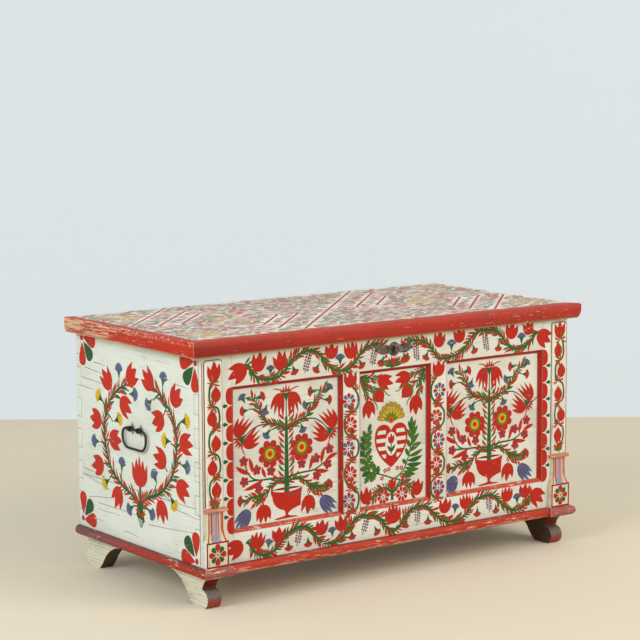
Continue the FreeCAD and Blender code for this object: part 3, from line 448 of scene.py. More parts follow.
class Sheet:
    """One painted surface: its brush marks and the stems that carry sprays of leaves. Places on
    it are in mm from the point x, y of the surface."""

    def __init__(self, x=0, y=0):
        self.start = (x, y)
        self.marks = []
        self.sprays = []

    def mark(self, paint, outline, at=(0, 0), turn=0.0, size=1.0, flip=1, lift=0):
        """Lays one stroke. Turn is in degrees; a lift of 1 lies over a lift of 0."""
        c, s = math.cos(math.radians(turn)), math.sin(math.radians(turn))
        left, low = at[0] + self.start[0], at[1] + self.start[1]
        placed = []
        for x, y in outline:
            x, y = x * size * flip, y * size
            placed.append((left + c * x - s * y, low + s * x + c * y))
        self.marks.append((paint, placed, lift))

    def stem(self, points, width=3.0, thin=0.5, paint="leaf", leaves=True, lift=0.5):
        """A stroke along a line that thins towards its end, with leaves along it if asked."""
        line = [(x + self.start[0], y + self.start[1]) for x, y in smooth(points)]
        forth, back = [], []
        for i, p in enumerate(line):
            before, after = line[max(i - 1, 0)], line[min(i + 1, len(line) - 1)]
            half = width / 2 * (1 - (1 - thin) * i / (len(line) - 1)) / (math.dist(before, after) or 1.0)
            nx, ny = half * (before[1] - after[1]), half * (after[0] - before[0])
            forth.append((p[0] + nx, p[1] + ny))
            back.append((p[0] - nx, p[1] - ny))
        self.marks.append((paint, forth + back[::-1], lift))
        if leaves:
            self.sprays.append(line)

    def tulip(self, x, y, turn, width=46.0, height=44.0, tips=3, paint="red", lift=1):
        """A tulip whose crown of pointed petals looks along turn (90 is up); x, y is its middle."""
        side = [(0.88, 0.96), (0.95, 0.68), (0.96, 0.4), (0.62, 0.08)]
        cup = [(-px, py) for px, py in side] + [(0, -0.04)] + side[::-1]
        for end in (0, -1):
            cup[end] = (cup[end][0] * random.uniform(0.9, 1.14), random.uniform(0.84, 1.0))
        outline = smooth(cup, 0.16)
        gap = 2 / (tips - 1)
        for i in range(1, tips):
            t = 1 - i * gap
            depth = 0.66 if tips < 5 else 0.8 - 0.14 * abs(t + gap / 2)
            depth += random.uniform(-0.05, 0.05)
            valley = 0.84 * (t + gap / 2) + random.uniform(-0.04, 0.04)
            near = outline[-1]
            outline.append((0.7 * near[0] + 0.3 * valley, 0.7 * near[1] + 0.3 * depth + 0.03))
            outline.append((valley, depth))
            if i < tips - 1:
                crest = 1.08 - 0.1 * abs(t) if tips < 5 else 1.26 - 0.26 * abs(t)
                tip = (t * 0.94 + random.uniform(-0.06, 0.06), crest + random.uniform(-0.05, 0.05))
                outline.append(((valley + tip[0]) / 2 + 0.09 * gap, (depth + tip[1]) / 2))
                outline.append(tip)
        outline = [(px * width / 2, (py - 0.46) * height) for px, py in outline]
        self.mark(paint, outline, (x, y), turn - 90, lift=lift)

    def bud(self, x, y, turn=90.0, width=28.0, height=37.0):
        """A closed tulip: an egg with a short point along turn and a broad base."""
        half = [(0.2, 0.74), (0.66, 0.4), (1.16, -0.1), (0.78, -0.62), (0.5, -1.0)]
        knots = [(0, 1)] + half + [(0, -0.98)] + [(-px, py) for px, py in reversed(half)]
        outline = [(px * width / 2, py * height / 2) for px, py in shape(*knots)]
        self.mark("red", outline, (x, y), turn - 90, lift=1)

    def pink(self, x, y, turn, width=24.0, paint="red", calyx="leaf", deep=0.86):
        """A carnation or cornflower from the side: a fringed fan out of a green calyx."""
        w = width / 2
        teeth = 9 if paint == "blue" else 7
        fan = [(w * 0.2, 0), (-w * 0.2, 0)]
        for i in range(2 * teeth + 1):
            a = math.radians(172 - 164 * i / (2 * teeth) + random.uniform(-2, 2))
            reach = w * (random.uniform(1.12, 1.24) if i % 2 else random.uniform(0.98, 1.06))
            fan.append((reach * math.cos(a), w * 0.22 + deep * reach * math.sin(a)))
        self.mark(paint, fan, (x, y), turn - 90, lift=1)
        for i in range(5 if paint == "blue" else 0):
            a = math.radians(150 - 30 * i + random.uniform(-6, 6))
            far = (0.95 * w * math.cos(a), w * 0.22 + 0.8 * w * math.sin(a))
            near = (0.35 * far[0], w * 0.2 + 0.3 * far[1])
            streak = [(near[0] - 0.8, near[1]), (far[0] - 1.3, far[1]), (far[0] + 1.3, far[1])]
            streak.append((near[0] + 0.8, near[1]))
            self.mark("plum" if i in (1, 3) else "violet", streak, (x, y), turn - 90, lift=2)
        cup = shape((0, -w * 1.2), (w * 0.16, -w * 0.3), (w * 0.62, w * 0.42), (0, w * 0.2),
                    (-w * 0.62, w * 0.42), (-w * 0.16, -w * 0.3))
        self.mark(calyx, cup, (x, y), turn - 90, lift=3)

    def drop(self, start, end, width, paint="red", lift=1):
        """A teardrop stroke: pointed at its start, round at its end."""
        (length, turn), w = heading(start, end), width / 2
        half = [(length * 0.42, w * 0.85), (max(length - w, length * 0.5), w), (length, w)]
        knots = [(0, 0)] + half + [(length, 0)] + [(px, -py) for px, py in reversed(half)]
        self.mark(paint, shape(*knots), start, turn, lift=lift)

    def leaf(self, start, end, width, paint="red", sway=0.12, lift=1):
        """A long leaf, pointed at both ends and swayed to one side."""
        length, turn = heading(start, end)
        bend = sway * length
        sides = ((length * 0.5, bend + width), (length * 0.5, bend - width))
        outline = shape((0, 0), sides[0], (length, 0), sides[1], steps=8)
        self.mark(paint, outline, start, turn, lift=lift)

    def oak_leaf(self, start, end, width, paint, lift=1):
        """A leaf with three rounded lobes on each side."""
        length, turn = heading(start, end)
        half = [(0.08, 1.25), (0.3, 0.5), (0.42, 1.7), (0.58, 0.55), (0.72, 1.4), (0.84, 0.4), (1.0, 0.7)]
        knots = [(0, 0)] + half + [(1, 0)] + [(px, -py) for px, py in reversed(half)]
        outline = [(px * length, py * width / 2) for px, py in shape(*knots)]
        self.mark(paint, outline, start, turn, lift=lift)

    def tuft(self, x, y, turn, reach=16.0, count=6, spread=150.0):
        """Short leaves fanned out from one place on a stem, red and green by turns."""
        for i in range(count):
            way = turn + spread * (i / (count - 1) - 0.5) + random.uniform(-7, 7)
            end = polar(x, y, reach * random.uniform(0.85, 1.3), way)
            sway = 0.12 if i % 2 else -0.12
            self.leaf((x, y), end, reach * 0.22, "green" if i % 3 == 1 else "red", sway, 1)

    def dot(self, x, y, radius, paint="red", lift=2, sides=12):
        self.mark(paint, [polar(0, 0, radius, 360 * i / sides) for i in range(sides)], (x, y), lift=lift)

    def ring(self, x, y, outer, inner, paint, lift=2, sides=28):
        """A painted ring, drawn as one stroke that closes on itself."""
        span = [360 * i / sides for i in range(sides + 1)]
        points = [polar(0, 0, outer, a) for a in span] + [polar(0, 0, inner, a) for a in reversed(span)]
        self.mark(paint, points, (x, y), lift=lift)

    def rosette(self, x, y, radius, paints, heart="violet", turn=0.0):
        """Eight drop petals round a small heart."""
        for i in range(8):
            way = turn + 45 * i
            paint = paints[i % len(paints)]
            self.drop(polar(x, y, radius * 0.24, way), polar(x, y, radius, way), radius * 0.52, paint)
        self.dot(x, y, radius * 0.13, heart)

    def catkin(self, x, y, length=48.0, slant=-10.0):
        """A hanging spray of beads in two rows beside a stalk, red and blue by turns."""
        pace = 7.1
        count = int(length / pace)
        for i in range(count):
            for side in (-1, 1):
                along = i * pace + 2.0 * side
                px = x + side * (6.8 - 1.6 * abs(i / count - 0.4)) + slant * along / length
                tint = "red" if (i + (side > 0)) % 2 else "blue"
                bead = random.uniform(2.7, 3.3)
                square = [(-bead, -bead * 0.8), (bead, -bead * 0.9), (bead * 0.9, bead * 0.8), (-bead, bead)]
                self.mark(tint, square, (px, y - along), random.uniform(-14, 14), lift=2)
        stalk = [(x + 8, y + 10), (x + 2, y + 2), (x + slant * 0.5, y - length * 0.5)]
        self.stem(stalk + [(x + slant, y - length + 2)], 4.0, 0.5, leaves=False)


def node_group(name, floats, paints):
    """A Geometry Nodes tree with these named inputs, and the sockets that bring them in."""
    tree = bpy.data.node_groups.new(name, "GeometryNodeTree")
    tree.interface.new_socket("Geometry", in_out="OUTPUT", socket_type="NodeSocketGeometry")
    wanted = [("Geometry", "Geometry")] + [(label, "Float") for label in floats]
    wanted += [("Seed", "Int")] + [(label, "Material") for label in paints]
    for label, kind in wanted:
        tree.interface.new_socket(label, in_out="INPUT", socket_type="NodeSocket" + kind)
    return tree, node(tree, "NodeGroupInput").outputs


def drawn_number(tree, low, high, seed):
    span = {2: low, 3: high, "Seed": seed}
    return node(tree, "FunctionNodeRandomValue", span, data_type="FLOAT").outputs[1]


def disc(tree, sides, radius):
    size = {"Resolution": sides, "Radius": radius}
    circle = node(tree, "GeometryNodeCurvePrimitiveCircle", size, mode="RADIUS").outputs[0]
    return node(tree, "GeometryNodeFillCurve", {0: circle}, mode="NGONS").outputs[0]


def thickened(tree, flat, skin):
    """A flat mesh made into a closed plate."""
    raised = node(tree, "GeometryNodeExtrudeMesh", {"Mesh": flat, "Offset Scale": skin}, mode="FACES")
    under = node(tree, "GeometryNodeFlipFaces", {"Mesh": flat})
    joined = node(tree, "GeometryNodeJoinGeometry")
    for half in (raised, under):
        tree.links.new(half.outputs[0], joined.inputs[0])
    close = {"Geometry": joined.outputs[0], "Distance": 1e-6}
    return node(tree, "GeometryNodeMergeByDistance", close).outputs[0]


def set_out(tree, inputs, size, depth, paint):
    """Copies of one plate on points, made real and painted."""
    scale = node(tree, "ShaderNodeCombineXYZ", {"X": size, "Y": size, "Z": depth}).outputs[0]
    copies = node(tree, "GeometryNodeInstanceOnPoints", {**inputs, "Scale": scale}).outputs[0]
    real = node(tree, "GeometryNodeRealizeInstances", {"Geometry": copies}).outputs[0]
    return node(tree, "GeometryNodeSetMaterial", {"Geometry": real, "Material": paint}).outputs[0]


def grown(tree, verts, edges, values):
    """What a tree grows on points and lines, once its named inputs are set, as a plain mesh."""
    mesh = bpy.data.meshes.new("carrier")
    mesh.from_pydata(verts, edges, [])
    carrier = linked("carrier", mesh)
    modifier = carrier.modifiers.new("growth", "NODES")
    modifier.node_group = tree
    for item in tree.interface.items_tree:
        if item.in_out == "INPUT" and item.name in values:
            modifier[item.identifier] = values[item.name]
    made = settled(carrier)
    bpy.data.objects.remove(carrier)
    return made


def leaf_tree():
    """Geometry nodes: small lens-shaped leaves set along lines, left and right by turns, some
    in one paint and the rest in the other."""
    floats = ("Spacing", "Leaf Length", "Leaf Width", "Spread", "Skin", "First Share", "Second Size")
    tree, given = node_group("leaf_sprays", floats, ("First Paint", "Second Paint"))
    line = node(tree, "GeometryNodeMeshToCurve", {"Mesh": given["Geometry"]}).outputs[0]
    paced = {"Curve": line, "Length": given["Spacing"]}
    spots = node(tree, "GeometryNodeCurveToPoints", paced, mode="LENGTH").outputs
    index = node(tree, "GeometryNodeInputIndex").outputs[0]
    side = calc(tree, "MULTIPLY_ADD", calc(tree, "MODULO", index, 2.0), 2.0)
    side.node.inputs[2].default_value = -1.0
    sway = drawn_number(tree, -0.25, 0.25, given["Seed"])
    swing = plus(tree, times(tree, side, given["Spread"]), sway)
    about = node(tree, "ShaderNodeCombineXYZ", {"Z": swing}).outputs[0]
    by = node(tree, "FunctionNodeEulerToRotation", {"Euler": about}).outputs[0]
    way = {"Vector": spots["Tangent"]}
    along = node(tree, "FunctionNodeAlignRotationToVector", way, axis="X", pivot_axis="Z").outputs[0]
    turns = {"Rotation": along, "Rotate By": by}
    pose = node(tree, "FunctionNodeRotateRotation", turns, rotation_space="LOCAL").outputs[0]
    split = xyz(tree, node(tree, "GeometryNodeInputPosition").outputs[0])
    belly = times(tree, split[1], minus(tree, 1.25, calc(tree, "ABSOLUTE", split[0])))
    lens = {
        "X": times(tree, plus(tree, split[0], 1.0), times(tree, given["Leaf Length"], 0.5)),
        "Y": times(tree, belly, times(tree, given["Leaf Width"], 0.5)),
    }
    bent = {"Geometry": disc(tree, 10, 1.0), "Position": node(tree, "ShaderNodeCombineXYZ", lens).outputs[0]}
    leaf = thickened(tree, node(tree, "GeometryNodeSetPosition", bent).outputs[0], given["Skin"])
    size = drawn_number(tree, 0.72, 1.2, given["Seed"])
    draw = calc(tree, "FRACT", times(tree, index, 0.618))
    shares = {0: draw, 1: given["First Share"]}
    first = node(tree, "FunctionNodeCompare", shares, data_type="FLOAT", operation="LESS_THAN").outputs[0]
    rest = node(tree, "FunctionNodeBooleanMath", {0: first}, operation="NOT").outputs[0]
    smaller = times(tree, size, given["Second Size"])
    depth = plus(tree, times(tree, draw, 0.35), 0.65)
    ends = node(tree, "GeometryNodeJoinGeometry")
    for chosen, paint, scale in ((first, "First Paint", size), (rest, "Second Paint", smaller)):
        where = {"Points": spots["Points"], "Selection": chosen, "Instance": leaf, "Rotation": pose}
        tree.links.new(set_out(tree, where, scale, depth, given[paint]), ends.inputs[0])
    node(tree, "NodeGroupOutput", {0: ends.outputs[0]})
    return tree


spray_tree = leaf_tree()


def spread_leaves(lines, length, width, spacing, paints, share, spread, skin, seed):
    """The leaves along the lines of one sheet, as a plain mesh, in metres."""
    verts, edges = [], []
    for line in lines:
        first = len(verts)
        verts += [(x / 1000, y / 1000, 0.0) for x, y in line]
        edges += [(first + i, first + i + 1) for i in range(len(line) - 1)]
    return grown(spray_tree, verts, edges, {
        "Spacing": spacing / 1000,
        "Leaf Length": length / 1000,
        "Leaf Width": width / 1000,
        "Spread": math.radians(spread),
        "Skin": skin / 1000,
        "First Share": share,
        "Second Size": 0.85,
        "Seed": seed,
        "First Paint": paints[0],
        "Second Paint": paints[1],
    })


paint_skin, paint_layer, paint_step, paint_bite = 0.16, 0.07, 0.0005, 0.02
front_axes = ((1, 0, 0), (0, 0, 1), (0, -1, 0))


def lay(name, sheet, origin, axes, axis, leaves=(15.0, 4.2, 5.2, 0.55, 34), body="case"):
    """Turns a sheet into thin plates of paint on a face of the chest. The axes are those of the
    face, to its right, up and out; leaves gives length, width, spacing, share of red and spread.
    Each plate bites a little into the board, and each is a hair thicker than the one before."""
    order = sorted({paint for paint, _, _ in sheet.marks} | {"red", "green"})
    verts, faces, tints = [], [], []
    for count, (paint, outline, lift) in enumerate(sheet.marks):
        area = sum(a[0] * b[1] - b[0] * a[1] for a, b in zip(outline, outline[1:] + outline[:1]))
        ring = outline if area > 0 else outline[::-1]
        top = paint_skin + paint_layer * lift + paint_step * (count % 60)
        first, size = len(verts), len(ring)
        verts += [(x / 1000, y / 1000, top / 1000) for x, y in ring]
        verts += [(x / 1000, y / 1000, -paint_bite / 1000) for x, y in ring]
        faces.append(tuple(range(first, first + size)))
        faces.append(tuple(range(first + 2 * size - 1, first + size - 1, -1)))
        for i in range(size):
            j = (i + 1) % size
            faces.append((first + i, first + size + i, first + size + j, first + j))
        tints += [order.index(paint)] * (size + 2)
    mesh = bpy.data.meshes.new(name)
    mesh.from_pydata(verts, [], faces)
    for paint in order:
        mesh.materials.append(palette[axis][paint])
    mesh.polygons.foreach_set("material_index", tints)
    made = bmesh.new()
    made.from_mesh(mesh)
    if sheet.sprays:
        length, width, spacing, share, spread = leaves
        pair = (palette[axis]["red"], palette[axis]["green"])
        skin = paint_skin + 0.02
        sprays = spread_leaves(sheet.sprays, length, width, spacing, pair, share, spread, skin, 5)
        known = {m.name: order.index(k) for k, m in palette[axis].items() if k in order}
        renamed = [known[m.name] if m else 0 for m in sprays.materials]
        recoloured = [renamed[p.material_index] for p in sprays.polygons]
        sprays.polygons.foreach_set("material_index", recoloured)
        made.from_mesh(sprays)
        bpy.data.meshes.remove(sprays)
    turned_axes = Matrix(axes).transposed()
    place = Matrix.Translation(Vector(origin) / 1000) @ turned_axes.to_4x4()
    bmesh.ops.transform(made, matrix=place, verts=made.verts)
    if turned_axes.determinant() < 0:
        bmesh.ops.reverse_faces(made, faces=made.faces)
    made.to_mesh(mesh)
    made.free()
    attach(linked(name, mesh), body)


# Rail garlands: a green stem that swings up and down along each rail, with tulips above it,
# cornflowers and pinks in its bays and beaded catkins that hang from its crests.
rails = Sheet()
rails.tulip(-484, 574, 205, 50, 52, 3)
rails.tulip(505, 574, -32, 50, 52, 3)
for row in (
    (-424, 592, 78, 44, 44, 3), (-360, 590, 100, 42, 44, 3), (-204, 600, 84, 42, 38, 3),
    (-143, 597, 96, 44, 42, 4), (143, 599, 80, 40, 40, 3), (211, 604, 98, 40, 38, 3),
    (391, 600, 82, 46, 42, 3), (450, 603, 98, 38, 36, 3),
):
    rails.tulip(*row)
for row in ((-389, 570, 88, 24), (-177, 576, 92, 28), (184, 580, 90, 29), (426, 577, 90, 29)):
    rails.pink(*row, "blue")
for row in (
    (-319, 566, 290), (-248, 564, 238), (-112, 562, 300), (-44, 562, 250),
    (32, 565, 300), (101, 563, 245), (260, 566, 290), (345, 565, 265),
):
    rails.pink(*row, 25)
for x, z, slant in ((-273, 598, -13), (-66, 596, -11), (65, 594, 4), (298, 598, 7)):
    rails.catkin(x, z, 46, slant)
rails.stem([(-469, 591), (-455, 589), (-447, 578), (-437, 562), (-418, 552), (-388, 549), (-364, 553),
            (-344, 568), (-329, 587), (-308, 600), (-279, 609), (-256, 606), (-236, 592), (-220, 573),
            (-200, 556), (-169, 549), (-144, 554), (-125, 572), (-109, 592), (-88, 603), (-60, 607),
            (-38, 602)], 6.5, 0.9)
rails.stem([(486, 591), (472, 588), (462, 572), (446, 560), (418, 552), (390, 555), (372, 570),
            (357, 590), (338, 604), (300, 612), (272, 609), (252, 597), (236, 578), (218, 562),
            (190, 552), (158, 549), (136, 556), (121, 574), (106, 592), (84, 602), (54, 606),
            (36, 600)], 6.5, 0.9)
for points in (
    ((-12, 543), (-20, 548), (-28, 553), (-38, 561)), ((-12, 543), (-2, 548), (9, 555)),
    ((26, 574), (26, 566)), ((-36, 570), (-43, 565)),
):
    rails.stem(points, 6.0, 0.6, leaves=False)
rails.drop((-9, 569), (-9, 548), 13)
rails.tulip(26, 558, 268, 21, 20, 3)
rails.tulip(-49, 556, 236, 21, 20, 3)
for start, end, wide in (
    ((-36, 563), (-18, 552), 7), ((15, 569), (3, 555), 7), ((-22, 553), (-30, 544), 6),
    ((-2, 550), (10, 545), 6),
):
    rails.leaf(start, end, wide)
for x, z in ((-31, 572), (38, 571)):
    rails.dot(x, z, 4.5, "red", 1)
for x, z, wide, paint in (
    (-34, 560, 7, "green"), (-24, 568, 8, "leaf"), (6, 569, 8, "leaf"), (18, 559, 7, "green"),
    (-44, 555, 5, "leaf"), (28, 555, 5, "leaf"), (-15, 573, 5, "red"), (-2, 573, 5, "red"),
):
    rails.leaf((-8, 544), (x, z), wide, paint, 0.1 if x < -8 else -0.1, 2)
for x, high in ((-42, 611), (-33, 612), (20, 612), (29, 611)):
    rails.leaf((x, high - 13), (x * 1.04, high + 4), 5)
rails.tulip(-498, 140, 200, 48, 50, 3)
rails.tulip(484, 142, -40, 50, 48, 3)
for row in (
    (-432, 150, 78, 44, 40, 4), (-369, 156, 84, 42, 37, 3), (-237, 156, 80, 40, 38, 3),
    (-176, 158, 100, 40, 38, 3), (-10, 156, 90, 54, 42, 5), (163, 157, 82, 42, 38, 3),
    (233, 159, 95, 40, 38, 4), (378, 159, 88, 42, 38, 4), (441, 161, 84, 42, 36, 3),
):
    rails.tulip(*row)
for row in ((-399, 138, 80, 24), (-204, 140, 95, 25), (198, 145, 80, 26), (414, 143, 92, 28)):
    rails.pink(*row, "blue")
for row in (
    (-339, 126, 275), (-279, 127, 272), (-142, 126, 275), (-64, 126, 300),
    (33, 131, 250), (106, 130, 268), (274, 128, 268), (339, 128, 272),
):
    rails.pink(*row, 25)
for x, z, slant in ((-305, 160, -9), (-93, 160, -16), (72, 160, -3), (314, 160, 2)):
    rails.catkin(x, z, 42, slant)
rails.stem([(-466, 152), (-452, 146), (-446, 130), (-430, 117), (-404, 113), (-379, 121), (-359, 139),
            (-339, 158), (-309, 168), (-284, 165), (-264, 150), (-249, 130), (-229, 117), (-199, 113),
            (-174, 122), (-154, 140), (-139, 158), (-119, 168), (-89, 168), (-59, 160), (-42, 145),
            (-29, 126), (-9, 116), (11, 124), (26, 142), (41, 158), (66, 168), (96, 167), (116, 154),
            (136, 135), (156, 120), (186, 114), (216, 117), (241, 131), (256, 150), (276, 163),
            (306, 168), (336, 161), (351, 145), (371, 128), (396, 115), (426, 116), (449, 131),
            (464, 149)], 6.5, 0.9)

# Muntin vines: a stem that winds round five rosettes, red and blue or all red, under a tulip.
# They are painted on the two uprights between the panels, in the same oils as the rails.
for x0, lean, heads in (
    (-142, 1, ((-8, 469), (-3, 409), (-10, 348), (-4, 282), (-9, 214))),
    (138, -1, ((6, 467), (-5, 398), (3, 336), (-4, 273), (3, 211))),
):
    rails.tulip(x0 + lean * -3, 523, 92, 42, 40, 3)
    for i, (dx, z) in enumerate(heads):
        paints = ("red", "blue") if i % 2 == 0 else ("red",)
        rails.rosette(x0 + dx, z, 20.5, paints, "blue", 0 if i % 2 == 0 else 22)
    winding = [(x0 - lean * 4, 512)]
    rails.tuft(x0 + lean * 8, 498, 80 - lean * 50, 18, 6, 140)
    for i, (dx, z) in enumerate(heads):
        side = lean if i % 2 == 0 else -lean
        winding += [(x0 + side * 17, z + 20), (x0 + side * 22, z), (x0 + side * 15, z - 22)]
        foot = heads[i + 1][1] if i < 4 else 150
        joint = (z + foot) / 2 if i < 4 else 184
        rails.tuft(x0 + side * 3, joint, 90 + side * 62, 22, 7, 130)
        rails.tuft(x0 - side * 2, joint - 2, 90 - side * 48, 20, 6, 110)
        rails.tuft(x0 - side * 6, joint - 5, 180 + side * 24, 18, 4, 80)
    winding.append((x0 - lean * 8, 182))
    rails.stem(winding, 6.0, 0.9, leaves=False)

# Scallops: red half discs along the outer edge of the side panels, a green leaf in each gap.
# They are painted flat on the end stiles, and start at the panel's bevel.
for edge, way in ((-502.6, -1), (502.6, 1)):
    for i in range(8):
        z = 519 - 45.6 * i
        half_disc = shape(
            (0, 22), (way * 19, 22), (way * 18.5, 0), (way * 19, -22), (0, -22), (0, 0), steps=8
        )
        rails.mark("red", half_disc, (edge, z), lift=1)
        if i < 7:
            rails.drop((edge + way * 11, z - 22.8), (edge + way * 27, z - 22.8), 10, "leaf")

# Lines beside the pilasters: brown is painted shade in the step along the planted strip, rust at the arris.
# The lines run up both sides of the strip, and the brown ones meet over its top.
# The brown strokes darken the stile where the strip's edges step down to it: painted shade.
for way in (-1, 1):
    for x, wide, paint in ((583.6, 3.0, "brown"), (532.4, 2.4, "brown"), (588.6, 2.2, "rust")):
        x *= way
        rails.stem([(x, 250 + wide), (x + 0.6, 430), (x, 608)], wide, 0.8, paint, leaves=False)
    top = [(way * x, z) for x, z in ((584, 606), (579, 611), (538, 611), (532, 606))]
    rails.stem(top, 2.4, 0.8, "brown", leaves=False)
lay("painted_garlands", rails, (0, frame_y, 0), front_axes, "x", (25.0, 6.6, 3.7, 0.55, 37))


# Side panels: a red footed bowl that carries one tall plant, with the same flowers on each
# side of its stem and each one a little different, as a painter repeats them by hand.
def split_tulip(sheet, x, y, turn, size=1.0):
    """A tulip cut open: two toothed halves that curl away from a green calyx."""
    half = shape((-7, 27), (-2, 4), (-10, -37), (-13, -20), (-16, -5), (-19, -18), (-23, -33), (-24, -14),
                 (-26, 0), (-30, -12), (-37, -25), (-36, -8), (-35, 5), (-39, -2), (-47, -9), (-46, 12),
                 (-37, 22), (-25, 36))
    for flip in (1, -1):
        sheet.mark("red", half, (x, y), turn - 90, size, flip, 1)
    cup = shape((0, 4), (5, 20), (13, 32), (0, 27), (-13, 32), (-5, 20))
    sheet.mark("leaf", cup, (x, y), turn - 90, size, lift=2)
    for flip in (1, -1):
        whisker = shape((12, 32), (22, 47), (43, 41), (26, 41))
        sheet.mark("red", whisker, (x, y), turn - 90, size, flip, 1)
    crest = [(-17, 31), (-17, 41), (-11, 35), (-9, 47), (-4, 36), (0, 52), (4, 36), (10, 48), (11, 35),
             (17, 40), (17, 31)]
    sheet.mark("red", crest, (x, y), turn - 90, size, lift=1)


def sunflower(sheet, x, y, radius):
    """Eight round red petals, then rings of olive, yellow and orange round a red eye."""
    for i in range(8):
        petal = polar(x, y, radius * 0.73, 22 + 45 * i)
        sheet.dot(*petal, radius * 0.285, "deep", 0, 16)
        sheet.dot(*petal, radius * 0.255, "red", 1, 16)
    for share, paint, lift, sides in (
        (0.56, "deep", 1, 26), (0.53, "olive", 2, 26), (0.37, "yellow", 3, 22), (0.23, "orange", 4, 18),
        (0.13, "red", 5, 14),
    ):
        sheet.dot(x, y, radius * share, paint, lift, sides)


def floret(sheet, x, y, radius=13.0, turn=0.0):
    """Five red petals with a dab of violet blue in the middle."""
    for i in range(5):
        sheet.dot(*polar(x, y, radius * 0.62, turn + 72 * i), radius * 0.4, "red", 1, 10)
    for i in range(4):
        sheet.dot(*polar(x, y, radius * 0.24, turn + 30 + 90 * i), radius * 0.2, "violet", 2, 8)


def blue_tulip(sheet, x, y, turn):
    """A striped tulip: blue petals with dark lines laid over them from base to tip."""
    sheet.tulip(x, y, turn, 42, 55, 4, "blue")
    ahead = polar(0, 0, 1, turn)
    for beside, length in ((-2, 30), (-1, 42), (0, 40), (1, 44), (2, 30)):
        root = (x - 22 * ahead[0] - 5 * beside * ahead[1], y - 22 * ahead[1] + 5 * beside * ahead[0])
        tip = polar(*root, length, turn + 7 * beside)
        sheet.leaf(root, tip, 3.8, "plum" if beside % 2 else "violet", 0.04 * beside, 2)


